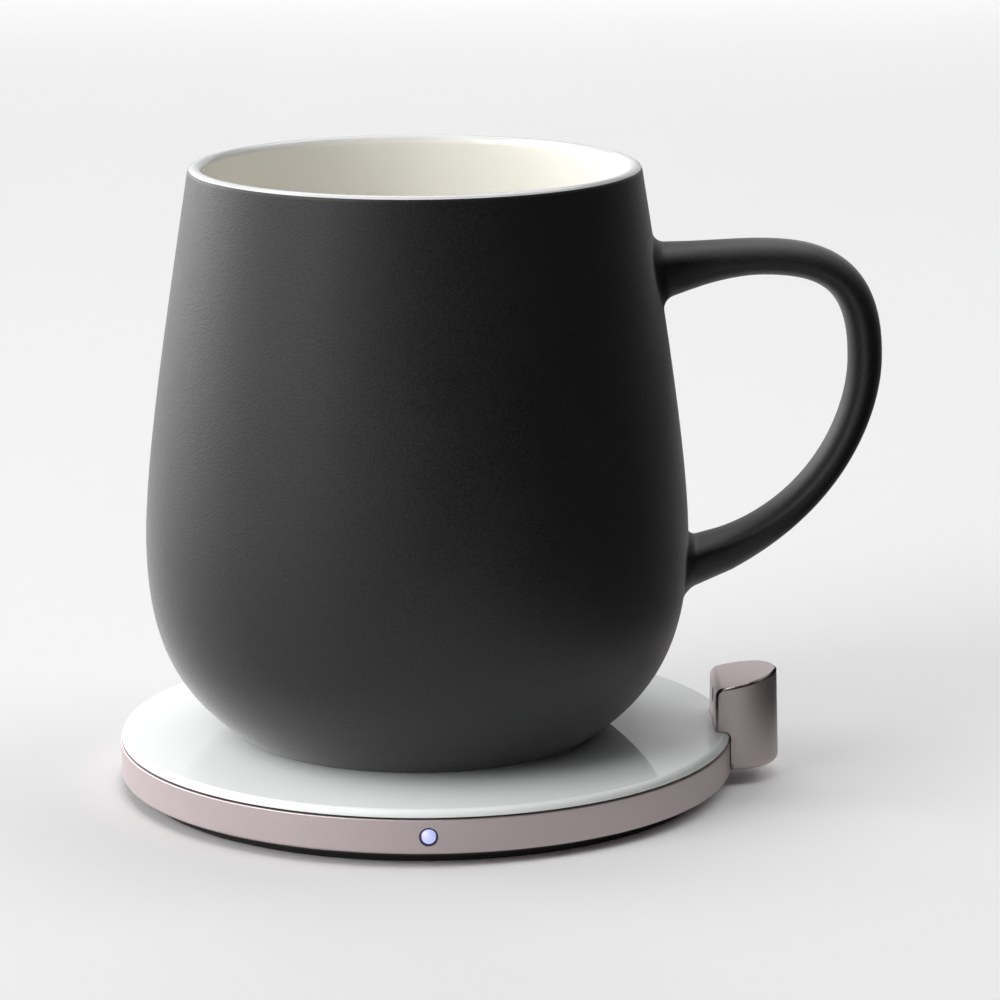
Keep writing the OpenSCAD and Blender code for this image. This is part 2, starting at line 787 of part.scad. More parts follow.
// Coil and its carrier
module coil_carrier() {
    color("#2a2b2e") difference() {
        union() {
            disc(carrier_radius, plate_bottom, plate_top);
            tube(carrier_radius, carrier_bore, plate_top - rest, coil_z + wire_d / 2);
            disc(hub_d / 2, plate_top - rest, hub_top);
            each_carrier_boss() disc(boss_d / 2, base_top + rest, plate_bottom + rest);
        }
        each_carrier_boss() disc(screw_hole / 2, base_top - past, base_top + carrier_grip + slip);
        for (side = [-1, 1]) translate([0, side * thermistor_lead_y, 0])
            disc(lead_d / 2 + slip, plate_bottom - past, hub_top + past);
        translate([coil_lead_in, coil_lead_y, 0])
            disc(wire_d / 2 + slip, plate_bottom - past, plate_top + past);
        block([coil_lead_out_x - wire_d / 2 - slip, carrier_bore - past, ferrite_top],
            [coil_lead_out_x + wire_d / 2 + slip, carrier_radius + past, coil_z + wire_d]);
    }
}

module ferrite_disc() {
    color("#3a3a3d") tube(ferrite_radius, ferrite_hole, ferrite_bottom, ferrite_top);
}

module induction_coil() {
    rings = len(coil_stations);
    color("#b5713c") polyhedron([for (i = [0:rings - 1]) each coil_ring(i)], tube_faces(rings, wire_sides));
}

// Each lead starts square against an end of the coil and lies down on the board
module coil_leads() {
    on_board = board_top + wire_d / 2 + solder;
    inner_from = coil_start - rest * spiral_way(0);
    inner_on = inner_from - wire_d * spiral_way(0);
    outer_from = coil_end + rest * spiral_way(coil_rings);
    outer_on = [coil_lead_out_x, outer_from[1]];
    color("#a8672f") {
        wire([
            [inner_from[0], inner_from[1], coil_z],
            [inner_on[0], inner_on[1], coil_z],
            [coil_lead_in, coil_lead_y, coil_z],
            [coil_lead_in, coil_lead_y, lead_z],
            [coil_lead_rise, coil_lead_y, lead_z],
            [coil_lead_rise, coil_lead_y, on_board],
            [coil_lead_end, coil_lead_y, on_board]
        ], wire_d);
        wire([
            [outer_from[0], outer_from[1], coil_z],
            [outer_on[0], outer_on[1], coil_z],
            [coil_lead_out_x, coil_lead_rise, coil_z],
            [coil_lead_out_x, coil_lead_rise, on_board],
            [coil_lead_out_x, coil_lead_end, on_board]
        ], wire_d);
    }
}

module thermistor() {
    color("#2f6f4f") disc(thermistor_d / 2, hub_top + rest, thermistor_top);
}

module thermistor_leads() {
    on_board = board_top + lead_d / 2 + solder;
    color("#c9c4b8") for (side = [-1, 1]) {
        y = side * thermistor_lead_y;
        wire([
            [0, y, hub_top],
            [0, y, lead_z],
            [-thermistor_lead_rise, y, lead_z],
            [-thermistor_lead_rise, y, on_board],
            [-thermistor_lead_end, y, on_board]
        ], lead_d);
    }
}

// Board
module circuit_board() {
    color("#1f5a3a") difference() {
        tube(board_outer, board_inner, board_bottom, board_top);
        each_lug() {
            disc(boss_d / 2 + slip, board_bottom - past, board_top + past);
            block([0, -boss_d / 3 - slip, board_bottom - past],
                [boss_d, boss_d / 3 + slip, board_top + past]);
        }
        for (turn = peg_turns) polar(turn, peg_radius)
            disc(peg_d / 2 + slip, board_bottom - past, board_top + past);
        block([-socket_width / 2 - slip, socket_back - slip, board_bottom - past],
            [socket_width / 2 + slip, pad_radius, board_top + past]);
    }
}

module on_board(turn, size) {
    polar(turn, board_middle) translate([-size[0] / 2, -size[1] / 2, board_top + solder]) cube(size);
}

module power_inductor() {
    color("#3c3d40") on_board(inductor_turn, [inductor_side, inductor_side, inductor_height]);
}

module driver_chips() {
    color("#1a1a1c") for (turn = chip_turns) on_board(turn, [chip_side, chip_side, chip_height]);
}

module board_capacitors() {
    color("#b08a4a") for (turn = capacitor_turns) polar(turn, board_middle)
        disc(capacitor_d / 2, board_top + solder, board_top + solder + capacitor_height);
}

module socket_shell() {
    color("#c3c5c8") translate([0, 0, socket_z]) difference() {
        round_bar(socket_width, socket_height, socket_back, socket_front);
        round_bar(socket_width - 2 * socket_sheet, socket_height - 2 * socket_sheet,
            socket_back + socket_sheet, socket_front + past);
    }
}

module socket_tongue() {
    from = socket_back + socket_sheet;
    color("#202022") translate([0, 0, socket_z])
        block([-tongue_width / 2, from, -tongue_thickness / 2],
            [tongue_width / 2, from + tongue_length, tongue_thickness / 2]);
}

// Indicator light
module lamp_chip() {
    color("#f2f2ee") block([-lamp_width / 2, -lamp_face, board_top + solder],
        [lamp_width / 2, -lamp_face + lamp_depth, board_top + solder + lamp_height]);
}

module light_pipe() {
    r = pipe_d / 2;
    ball = (r * r + dome_height * dome_height) / (2 * dome_height);
    ball_centre = [0, pad_radius + dome_height - ball];
    color("#cdd0fb") translate([0, 0, light_z]) rotate([90, 0, 0]) rotate_extrude()
        polygon(concat([[0, pipe_end], [r, pipe_end]],
            arc(ball_centre, ball, acos(r / ball), 90, lip_steps)));
}

module light_surround() {
    color("#1d1d20") translate([0, 0, light_z]) rotate([90, 0, 0])
        tube(surround_d / 2, pipe_d / 2 + slip, ring_bore, pad_radius);
}

// Post
module post_shell() {
    color("#a4969a") difference() {
        post_outline();
        intersection() {
            translate([post_x, 0, 0]) disc(post_hollow, post_bottom - past, chamber_top);
            union() {
                block([chamber_face, -chamber_half, chamber_bottom],
                    [post_x + post_hollow, chamber_half, chamber_top + past]);
                block([well_x, -well_half, post_bottom - past],
                    [well_far, well_half, chamber_bottom + past]);
            }
        }
        translate([post_face - past, 0, sensor_z]) rotate([0, 90, 0])
            cylinder(d = sensor_hole_d, h = past + post_wall + slip);
        for (side = [-1, 1]) translate([ring_bore, side * post_screw_y, post_screw_z]) rotate([0, 90, 0])
            cylinder(d = post_screw_d + slip, h = post_screw_end + slip - ring_bore);
        block([ring_bore, -ribbon_width / 2 - slip, ribbon_z - ribbon_slot / 2],
            [well_x + slip, ribbon_width / 2 + slip, ribbon_z + ribbon_slot / 2]);
    }
}

module post_cap() {
    color("#1c1c1d") block([well_x + slip, -well_half + slip, post_bottom],
        [well_far - slip, well_half - slip, post_bottom + cap_height]);
}

module post_screws() {
    color("#9a9da1") for (side = [-1, 1])
        translate([post_head_seat, side * post_screw_y, post_screw_z]) rotate([0, 90, 0])
            screw(post_screw_d, post_head_d, post_head_h, post_screw_end - post_head_seat);
}

module sensor_window() {
    color("#141416") translate([window_face, 0, sensor_z]) rotate([0, 90, 0])
        cylinder(d = sensor_hole_d - slip, h = window_thickness);
}

module infrared_sensor() {
    half = sensor_side / 2;
    color("#b9bbbf") block([sensor_face, -half, sensor_z - half], [sensor_back, half, sensor_z + half]);
}

module sensor_board() {
    half = sensor_board_width / 2;
    color("#1f5a3a") block([sensor_board_face, -half, chamber_bottom + ribbon_slot + slip],
        [sensor_board_back, half, chamber_top - slip]);
}

module sensor_ribbon() {
    half_t = ribbon_thickness / 2;
    up_x = sensor_board_back + rest + half_t;
    board_x = board_outer - ribbon_width;
    lie_z = board_top + solder + half_t;
    color("#c58b3a") strip([
        [up_x, sensor_z],
        [up_x, ribbon_turn_z],
        [ribbon_down_x, ribbon_turn_z],
        [ribbon_down_x, ribbon_z],
        [board_outer - ribbon_thickness, ribbon_z],
        [board_outer - ribbon_thickness, lie_z],
        [board_x, lie_z]
    ], ribbon_thickness, ribbon_width);
}

mug_body();
mug_glaze();
mug_handle();
heating_film();
glass_top();
glass_gasket();
rim_ring();
base_cover();
silicone_sole();
base_screws();
carrier_screws();
coil_carrier();
ferrite_disc();
induction_coil();
coil_leads();
thermistor();
thermistor_leads();
circuit_board();
power_inductor();
driver_chips();
board_capacitors();
socket_shell();
socket_tongue();
lamp_chip();
light_pipe();
light_surround();
post_shell();
post_cap();
post_screws();
sensor_window();
infrared_sensor();
sensor_board();
sensor_ribbon();
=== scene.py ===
import math

import bmesh
import bpy
from mathutils import Matrix, Vector
from mathutils.bvhtree import BVHTree
from mathutils.geometry import interpolate_bezier


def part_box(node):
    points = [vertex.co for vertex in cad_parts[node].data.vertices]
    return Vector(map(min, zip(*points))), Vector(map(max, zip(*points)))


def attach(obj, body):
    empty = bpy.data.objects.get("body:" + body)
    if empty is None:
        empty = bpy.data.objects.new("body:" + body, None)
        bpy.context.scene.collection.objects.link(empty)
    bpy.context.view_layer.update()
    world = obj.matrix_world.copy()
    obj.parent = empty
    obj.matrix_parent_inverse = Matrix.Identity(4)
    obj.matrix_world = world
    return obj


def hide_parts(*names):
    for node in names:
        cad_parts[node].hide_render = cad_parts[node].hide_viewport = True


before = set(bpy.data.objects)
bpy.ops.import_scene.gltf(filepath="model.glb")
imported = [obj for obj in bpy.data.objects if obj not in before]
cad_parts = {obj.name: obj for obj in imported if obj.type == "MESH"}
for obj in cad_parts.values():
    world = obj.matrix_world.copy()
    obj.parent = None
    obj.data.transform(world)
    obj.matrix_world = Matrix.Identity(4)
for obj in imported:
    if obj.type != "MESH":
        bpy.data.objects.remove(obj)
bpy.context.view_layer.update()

bl_info = {
    "name": "Self-heating mug",
    "version": (1, 0, 0),
    "blender": (4, 5, 0),
    "location": "View3D > Sidebar > Mug",
    "description": "Dresses a self-heating mug and the induction pad that it stands on",
    "category": "Add Mesh",
}

MM = 0.001
# Places closer than this are one place
MERGE = 0.002 * MM
# How near a place has to be to a face to lie in it
ON_FACE = 0.01 * MM
# Faces that meet at less than this angle are one flat face
FLAT = math.radians(0.2)
# Faces that meet at less than this angle are shaded as one surface
SOFT_EDGE = math.radians(32)
# A face of a round wall looks out from its axis by more than this share
RADIAL = 0.9
# Steps round a turned piece, along each of its curves and round a lip or an edge
ROUND_STEPS = 192
CURVE_STEPS = 32
LIP_STEPS = 14

# Where the nodes are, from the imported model
MUG_LOW, MUG_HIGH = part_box("mug_body")
GLASS_LOW, GLASS_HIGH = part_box("glass_top")
GASKET_LOW, GASKET_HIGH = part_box("glass_gasket")
POST_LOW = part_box("post_shell")[0]
PIPE_LOW, PIPE_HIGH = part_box("light_pipe")
BEZEL_LOW, BEZEL_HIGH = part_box("light_surround")
SOLE_LOW, SOLE_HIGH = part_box("silicone_sole")
COIL_LOW, COIL_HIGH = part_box("induction_coil")
TONGUE_LOW, TONGUE_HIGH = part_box("socket_tongue")
MUG_FOOT = Vector(((MUG_LOW.x + MUG_HIGH.x) / 2, 0, MUG_LOW.z))
PIPE_HEIGHT = (PIPE_LOW.z + PIPE_HIGH.z) / 2


# Settings

def linear(hex_colour):
    """An sRGB hex colour as linear red, green, blue and alpha."""
    shares = [int(hex_colour[i:i + 2], 16) / 255 for i in (1, 3, 5)]
    return [c / 12.92 if c <= 0.04045 else ((c + 0.055) / 1.055) ** 2.4 for c in shares] + [1.0]


def dimmed(full, share):
    """A linear colour at a share of its brightness."""
    return [share * c for c in full[:3]] + [1.0]


def length(name, description, millimetres):
    """A property for a length."""
    return bpy.props.FloatProperty(
        name=name, description=description, default=millimetres * MM, min=0, precision=5,
        subtype="DISTANCE", unit="LENGTH")


def angle(name, description, degrees):
    """A property for an angle."""
    return bpy.props.FloatProperty(
        name=name, description=description, default=math.radians(degrees), subtype="ANGLE",
        unit="ROTATION")


def colour(name, description, hex_colour):
    """A property for a colour."""
    return bpy.props.FloatVectorProperty(
        name=name, description=description, default=linear(hex_colour), size=4, min=0, max=1,
        subtype="COLOR")


class MugSettings(bpy.types.PropertyGroup):
    height: length("Height", "From the foot to the lip", 92.6)
    rim_radius: length("Rim radius", "Outer radius just under the lip", 36.3)
    belly_radius: length("Belly radius", "Outer radius at the widest place", 44)
    belly_height: length("Belly height", "Height of the widest place above the foot", 31.5)
    foot_radius: length("Foot radius", "Outer radius of the foot", 29.3)
    wall: length("Wall", "Thickness of the side at the belly", 3.6)
    lip_thickness: length("Lip thickness", "Thickness of the rounded lip", 2.4)
    glaze_thickness: length("Glaze thickness", "Thickness of the lining", 0.35)
    handle_thickness: length("Handle thickness", "Thickness of the loop at its upper joint", 5.9)
    handle_far_thickness: length("Handle far thickness", "Thickness of the loop at its farthest point", 5.5)
    handle_low_thickness: length("Handle low thickness", "Thickness of the loop at its lower joint", 4.4)
    handle_width: length("Handle width", "Width of the loop across the grip", 10.6)
    handle_fillet: length("Handle fillet", "Radius where the loop runs into the body", 1.7)
    clay: colour("Clay", "Matt black outside", "#0c0c0d")
    clay_speck: colour("Clay speck", "Paler grains in the matt black", "#232223")
    glaze: colour("Glaze", "Cream lining", "#fbf9f2")
    # The lip's grey white is painted shade over the lining, not a thinner glaze
    lip_shade_glaze: colour("Thin glaze", "Lining where it thins over the lip", "#cfd0d1")


class PadSettings(bpy.types.PropertyGroup):
    chamfer: length("Post chamfer", "Width of the polished cut round the post's edges", 0.6)
    glass_edge: length("Glass edge", "Radius of the glass plate's top edge", 1.0)
    wire: length("Coil wire", "Diameter of the coil's wire", 0.9)
    anodised: colour("Anodised metal", "Ring and post", "#c9bcbe")
    glass: colour("Glass", "White plate", "#f3f6f5")
    light: colour("Light", "Glow of the indicator", "#c3caff")
    light_strength: bpy.props.FloatProperty(
        name="Light strength", description="Brightness of the indicator", default=0.85, min=0, max=20)


class StageSettings(bpy.types.PropertyGroup):
    floor: colour("Floor", "Pale floor", "#f9f9f9")
    camera_place: bpy.props.FloatVectorProperty(
        name="Camera place", description="Where the camera stands",
        default=(-2.66 * MM, -653.76 * MM, 192.37 * MM), subtype="TRANSLATION", unit="LENGTH")
    camera_tilt: angle("Camera tilt", "How far the camera looks down", 12.591)
    camera_turn: angle("Camera turn", "Heading to the right of +Y", 1.3)
    camera_roll: angle("Camera roll", "Lean of the camera", -0.16)
    lens: bpy.props.FloatProperty(
        name="Lens", description="Focal length", default=148.52, min=10, subtype="DISTANCE_CAMERA",
        unit="CAMERA")


class HeatedMugSettings(bpy.types.PropertyGroup):
    mug: bpy.props.PointerProperty(name="Mug", description="Sizes and colours of the mug", type=MugSettings)
    pad: bpy.props.PointerProperty(name="Pad", description="Sizes and colours of the pad", type=PadSettings)
    stage: bpy.props.PointerProperty(name="Stage", description="Floor and camera", type=StageSettings)


# Materials

# How far down from the lip's top the lining is painted with shade, a greyer white
LIP_SHADE_DEPTH = 1.2 * MM
# A painted highlight on the indicator's glow sits this far to the left of the pipe's middle and as far
# above it
HIGHLIGHT_ASIDE = 0.5 * MM
# Distances from the painted highlight between which the glow turns from its white to bluer
HIGHLIGHT_NEAR, HIGHLIGHT_FAR = 0.1 * MM, 1.1 * MM
# Width of a ring of the wave texture at a scale of 1
WAVE_WIDTH = math.tau / 20

# Finishes of the nodes that keep their shape: name, darker and paler colour, grain in millimetres,
# roughness, depth of the relief in millimetres, the shader's other values, and the nodes
WORKS = (
    # Moulded ABS with a fine spark-eroded texture: deep grey black, dull, without a sharp gleam
    ("moulded_black_abs", "#161617", "#202022", 0.4, (0.5, 0.62), 0.01, {"IOR": 1.54},
     ("base_cover", "coil_carrier", "post_cap", "socket_tongue")),
    # Zinc-plated steel: a cool bright metal with a fine mottle
    ("zinc_plated_steel", "#8e9196", "#b4b7bb", 0.6, (0.25, 0.38), 0.003, {"Metallic": 1.0},
     ("base_screws", "carrier_screws", "post_screws")),
    # Drawn stainless sheet: even, cool and satin
    ("drawn_stainless_steel", "#b2b4b8", "#cccdd0", 0.8, (0.22, 0.32), 0, {"Metallic": 1.0},
     ("socket_shell", "infrared_sensor")),
    # Enamelled copper: warm metal under a clear amber lacquer
    ("enamelled_copper", "#a8602c", "#c98046", 0.7, (0.2, 0.3), 0, {"Metallic": 1.0, "Coat_Weight": 0.6},
     ("coil_leads",)),
    # Tinned copper: soft, pale and slightly frosted
    ("tinned_copper", "#b7b3a8", "#d3cfc4", 0.3, (0.3, 0.42), 0, {"Metallic": 1.0}, ("thermistor_leads",)),
    # Sintered ferrite: dead grey ceramic with visible pores
    ("sintered_ferrite", "#2a2a2d", "#46464a", 0.5, (0.65, 0.8), 0.02, {"IOR": 1.6}, ("ferrite_disc",)),
    # Epoxy moulding compound of chips and chokes: black with a matt, sandy skin
    ("epoxy_moulding", "#131315", "#222225", 0.25, (0.55, 0.68), 0.006, {"IOR": 1.55},
     ("power_inductor", "driver_chips")),
    # Dipped tantalum capacitor: tan resin, half glossy
    ("dipped_tan_resin", "#a67f3f", "#bd9654", 1.2, (0.25, 0.35), 0.01, {"IOR": 1.55},
     ("board_capacitors",)),
    # Glass bead of the thermistor: green and glossy
    ("green_glass_bead", "#24593f", "#37805c", 0.8, (0.06, 0.12), 0, {"IOR": 1.52}, ("thermistor",)),
    # Lamp case: white reflecting nylon
    ("white_nylon", "#e4e4e0", "#f6f6f2", 0.4, (0.4, 0.5), 0.004, {"IOR": 1.53}, ("lamp_chip",)),
    # Black polyethylene that lets heat rays through: dull and dark
    ("black_polyethylene", "#0b0b0d", "#121216", 1.0, (0.4, 0.5), 0, {"IOR": 1.5}, ("sensor_window",)),
    # Polyimide film: amber, slightly glossy
    ("amber_polyimide", "#b57a2c", "#cf9443", 0.9, (0.25, 0.35), 0, {"IOR": 1.7}, ("sensor_ribbon",)),
)


def node(tree, kind, inputs=(), **fields):
    """Adds a node to a material, sets its fields and fills its inputs with values or links."""
    added = tree.nodes.new(kind)
    for name, value in fields.items():
        setattr(added, name, value)
    for name, value in dict(inputs).items():
        if isinstance(value, bpy.types.NodeSocket):
            tree.links.new(value, added.inputs[name])
        else:
            added.inputs[name].default_value = value
    return added


def material(name, **constants):
    """A material with constants on its shader's sockets, as the material, its tree, shader and places."""
    made = bpy.data.materials.new(name)
    made.use_nodes = True
    tree = made.node_tree
    shader = tree.nodes["Principled BSDF"]
    for socket, value in constants.items():
        shader.inputs[socket.replace("_", " ")].default_value = value
    place = node(tree, "ShaderNodeTexCoord").outputs["Object"]
    return made, tree, shader, place


def shade(tree, shader, share, dark, pale, roughness, height=None, depth=0.0):
    """Links a pattern to a shader: its share mixes two colours and roughnesses, its height is a relief."""
    mixed = node(tree, "ShaderNodeMix", {0: share, 6: dark, 7: pale}, data_type="RGBA")
    tree.links.new(mixed.outputs[2], shader.inputs["Base Color"])
    rough = node(tree, "ShaderNodeMapRange", {
        "Value": share, "To Min": roughness[0], "To Max": roughness[1]})
    tree.links.new(rough.outputs["Result"], shader.inputs["Roughness"])
    if height is not None:
        relief = node(tree, "ShaderNodeBump", {"Height": height, "Strength": 1.0, "Distance": depth})
        tree.links.new(relief.outputs["Normal"], shader.inputs["Normal"])


def grained(name, dark, pale, size, roughness, depth=0.0, **constants):
    """A surface with one even grain of a real size, in millimetres as the depth of its relief is."""
    made, tree, shader, place = material(name, **constants)
    noise = node(tree, "ShaderNodeTexNoise", {"Vector": place, "Scale": 1 / (size * MM), "Detail": 3.0})
    share = node(tree, "ShaderNodeMapRange", {
        "Value": noise.outputs["Fac"], "From Min": 0.3, "From Max": 0.7})
    shade(tree, shader, share.outputs["Result"], dark, pale, roughness,
          noise.outputs["Fac"] if depth else None, depth * MM)
    return made


def stoneware(mug):
    """Stoneware under a matt black glaze: a dry, even black with a fine sandy grain and a satin edge."""
    made, tree, shader, place = material(
        "matt_black_stoneware", IOR=1.45, Sheen_Weight=0.45, Sheen_Roughness=0.35)
    # The grain is about 0.15 mm on the real surface, and drawn at 0.3 mm so that it shows
    grit = node(tree, "ShaderNodeTexNoise", {"Vector": place, "Scale": 1 / (0.3 * MM), "Detail": 2.0})
    # Cloudiness from the dipping, about 14 mm across, a quarter as strong as the grain
    cloud = node(tree, "ShaderNodeTexNoise", {"Vector": place, "Scale": 1 / (14 * MM), "Detail": 2.0})
    blend = node(tree, "ShaderNodeMath", {0: cloud.outputs["Fac"], 1: 0.25, 2: grit.outputs["Fac"]},
                 operation="MULTIPLY_ADD")
    share = node(tree, "ShaderNodeMapRange", {
        "Value": blend.outputs["Value"], "From Min": 0.4, "From Max": 0.85})
    shade(tree, shader, share.outputs["Result"], mug.clay, mug.clay_speck, (0.44, 0.54),
          grit.outputs["Fac"], 0.05 * MM)
    return made


def cream_glaze(mug):
    """Cream glaze, fired glossy: warm white, wet-looking, with the slight waves of a poured coat."""
    made, tree, shader, place = material("glossy_cream_glaze", IOR=1.52)
    wave = node(tree, "ShaderNodeTexNoise", {"Vector": place, "Scale": 1 / (9 * MM), "Detail": 1.0})
    # Painted shade: the lining turns a darker grey white over the top of the lip, to keep the lip dimmer
    # than the lit inside
    height = node(tree, "ShaderNodeSeparateXYZ", {"Vector": place}).outputs["Z"]
    lip = MUG_FOOT.z + mug.height
    lip_shade = node(tree, "ShaderNodeMapRange", {
        "Value": height, "From Min": lip - LIP_SHADE_DEPTH, "From Max": lip - LIP_SHADE_DEPTH / 3}).outputs["Result"]
    coats = [node(tree, "ShaderNodeMix", {
        0: lip_shade, 6: dimmed(mug.glaze, share), 7: dimmed(mug.lip_shade_glaze, share)},
        data_type="RGBA").outputs[2] for share in (0.95, 1.0)]
    shade(tree, shader, wave.outputs["Fac"], *coats, (0.08, 0.16), wave.outputs["Fac"], 0.04 * MM)
    return made


def white_glass(pad):
    """Tempered glass with white enamel behind it: a hard mirror gloss over a cool white."""
    made, tree, shader, place = material("enamelled_white_glass", IOR=1.52)
    # Faint wiping marks in the gloss, about 12 mm across
    wipe = node(tree, "ShaderNodeTexNoise", {"Vector": place, "Scale": 1 / (12 * MM), "Detail": 4.0})
    shade(tree, shader, wipe.outputs["Fac"], dimmed(pad.glass, 0.985), pad.glass, (0.005, 0.02))
    return made


def ground_edge(pad):
    """Edge of the same glass, ground with a fine wheel: silky, reflections melt into a pale band."""
    return grained("ground_glass_edge", dimmed(pad.glass, 0.985), pad.glass, 0.5, (0.3, 0.4), IOR=1.52)


def anodised(pad):
    """Bead-blasted aluminium, anodised mauve: a satin metal with an even sparkle of fine dimples."""
    # The dimples are about 0.08 mm on the real metal, and drawn at 0.3 mm so that they show
    return grained("mauve_anodised_aluminium", dimmed(pad.anodised, 0.9), pad.anodised, 0.3, (0.46, 0.57),
                   0.006, Metallic=1.0)


def polished_cut(pad):
    """Diamond-cut aluminium under the same dye: a bright line, faintly uneven."""
    return grained("polished_cut_aluminium", dimmed(pad.anodised, 0.7), pad.anodised, 0.5, (0.2, 0.28),
                   Metallic=1.0)


def lit_pipe(pad):
    """Milky polycarbonate with a lamp behind it: a bluish glow, with a painted highlight that whitens it up
    and to the left.
    """
    made, tree, shader, place = material(
        "lit_milky_polycarbonate", IOR=1.58, Emission_Strength=pad.light_strength)
    grain = node(tree, "ShaderNodeTexNoise", {"Vector": place, "Scale": 1 / (0.4 * MM), "Detail": 2.0})
    shade(tree, shader, grain.outputs["Fac"], linear("#54567a"), linear("#626488"), (0.25, 0.35))
    # Painted highlight: the glow turns to the white #e8e8f2 round a spot up and to the left of the pipe's
    # middle
    lamp = Vector((-HIGHLIGHT_ASIDE, PIPE_LOW.y, PIPE_HEIGHT + HIGHLIGHT_ASIDE))
    away = node(tree, "ShaderNodeVectorMath", {0: place, 1: lamp}, operation="DISTANCE")
    glow = node(tree, "ShaderNodeMapRange", {
        "Value": away.outputs["Value"], "From Min": HIGHLIGHT_NEAR, "From Max": HIGHLIGHT_FAR})
    mixed = node(tree, "ShaderNodeMix", {0: glow.outputs["Result"], 6: linear("#e8e8f2"), 7: pad.light},
                 data_type="RGBA")
    tree.links.new(mixed.outputs[2], shader.inputs["Emission Color"])
    return made


def solder_mask():
    """Glass-fibre board under green lacquer: paler over the copper tracks, which lie about 1.2 mm apart."""
    made, tree, shader, place = material("green_solder_mask", IOR=1.5)
    tracks = node(tree, "ShaderNodeTexBrick", {
        "Vector": place, "Scale": 1.0, "Mortar Size": 0.25 * MM, "Brick Width": 7 * MM,
        "Row Height": 1.2 * MM})
    shade(tree, shader, tracks.outputs["Fac"], linear("#2a7449"), linear("#174b2e"), (0.3, 0.4),
          tracks.outputs["Fac"], -0.02 * MM)
    return made


def fired_silver():
    """Silver paste fired under the foot: a dull grey metal laid on in rings about 1.5 mm wide."""
    made, tree, shader, place = material("fired_silver_film", Metallic=1.0)
    centred = node(tree, "ShaderNodeMapping", {"Vector": place, "Location": (-MUG_FOOT.x, 0, 0)})
    rings = node(tree, "ShaderNodeTexWave", {
        "Vector": centred.outputs["Vector"], "Scale": WAVE_WIDTH / (1.5 * MM), "Distortion": 0.3},
        wave_type="RINGS", rings_direction="Z")
    shade(tree, shader, rings.outputs["Fac"], linear("#7f8186"), linear("#a9abb0"), (0.35, 0.5),
          rings.outputs["Fac"], 0.01 * MM)
    return made


# Shapes

def piece(name, mesh, body, slot, materials, *nodes):
    """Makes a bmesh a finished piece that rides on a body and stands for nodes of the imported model."""
    bmesh.ops.remove_doubles(mesh, verts=mesh.verts, dist=MERGE)
    bmesh.ops.recalc_face_normals(mesh, faces=mesh.faces)
    made = placed(name, mesh, materials)
    made.data.shade_smooth()
    made.data.set_sharp_from_angle(angle=SOFT_EDGE)
    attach(made, body)
    if nodes:
        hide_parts(*nodes)
    return made


def placed(name, mesh, materials):
    """Makes a bmesh an object in the scene."""
    data = bpy.data.meshes.new(name)
    mesh.to_mesh(data)
    mesh.free()
    for each in materials:
        data.materials.append(each)
    made = bpy.data.objects.new(name, data)
    bpy.context.scene.collection.objects.link(made)
    return made


def curve(*controls):
    """Places along a cubic curve with four control points, without the first one."""
    return interpolate_bezier(*[Vector((x, 0, z)) for x, z in controls], CURVE_STEPS + 1)[1:]


def arc(centre, radius, start, end, steps):
    """Places along an arc in the XZ plane, by angles in degrees."""
    turns = [math.radians(start + (end - start) * i / steps) for i in range(steps + 1)]
    return [Vector((centre[0] + radius * math.cos(a), 0, centre[1] + radius * math.sin(a))) for a in turns]


def turned(places, closed=False, steps=ROUND_STEPS):
    """A bmesh of a line in the XZ plane, spun once round the Z axis."""
    mesh = bmesh.new()
    line = [mesh.verts.new((p[0], 0, p[-1])) for p in places]
    edges = [mesh.edges.new(pair) for pair in zip(line, line[1:] + line[:1] * closed)]
    bmesh.ops.spin(mesh, geom=line + edges, cent=(0, 0, 0), axis=(0, 0, 1), angle=math.tau, steps=steps,
                   use_merge=True)
    return mesh


def lofted(stations, sides):
    """A closed bmesh through rings: each station puts a point of the unit circle where the ring has it."""
    mesh = bmesh.new()
    before = None
    for station in stations:
        ring = bmesh.ops.create_circle(mesh, segments=sides, radius=1)["verts"]
        edges = list({e for v in ring for e in v.link_edges})
        for v in ring:
            v.co = station(v.co.x, v.co.y)
        if before:
            bmesh.ops.bridge_loops(mesh, edges=before + edges)
        before = edges
    bmesh.ops.holes_fill(mesh, edges=mesh.edges)
    return mesh


def copied(name):
    """A merged bmesh of a node's own mesh, with its flat faces whole."""
    mesh = bmesh.new()
    mesh.from_mesh(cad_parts[name].data)
    bmesh.ops.remove_doubles(mesh, verts=mesh.verts, dist=MERGE)
    bmesh.ops.dissolve_limit(mesh, angle_limit=FLAT, verts=mesh.verts, edges=mesh.edges)
    return mesh


def true_round(made, axis_x, radius_at):
    """Gives the round wall about an upright axis the normals of the true round, in place of its facets'."""
    data = made.data
    normals = [n.vector.copy() for n in data.corner_normals]
    for face in data.polygons:
        corners = [data.vertices[v].co for v in face.vertices]
        outs = [Vector((corner.x - axis_x, corner.y, 0)) for corner in corners]
        outward = sum(outs, Vector()).normalized().dot(face.normal) > RADIAL
        if outward and all(abs(out.length - radius_at(c.z)) < ON_FACE for out, c in zip(outs, corners)):
            for loop, out in zip(face.loop_indices, outs):
                normals[loop] = out.normalized()
    data.normals_split_custom_set(normals)


# Mug

# The sides' curves, as leans and lengths of their straight pulls
FOOT_LEAN = math.radians(55.5)
FOOT_PULL = 12.6 * MM
BELLY_PULL_DOWN = 16 * MM
BELLY_PULL_UP = 13.2 * MM
RIM_LEAN = math.radians(9)
RIM_PULL = 22 * MM
# The inner floor's height and flat radius, and the pulls of the curve that runs into it
INNER_FLOOR = 5.5 * MM
INNER_FLOOR_RADIUS = 20 * MM
INNER_FLOOR_PULL = 15 * MM
INNER_BELLY_PULL = 18 * MM
# Width of the ring that the mug stands on, and how far the foot is hollow inside it
FOOT_RING = 4 * MM
FOOT_RECESS = 1 * MM
# Where the glaze ends on the lip, in degrees above the lip's outermost line
GLAZE_LAP = 38

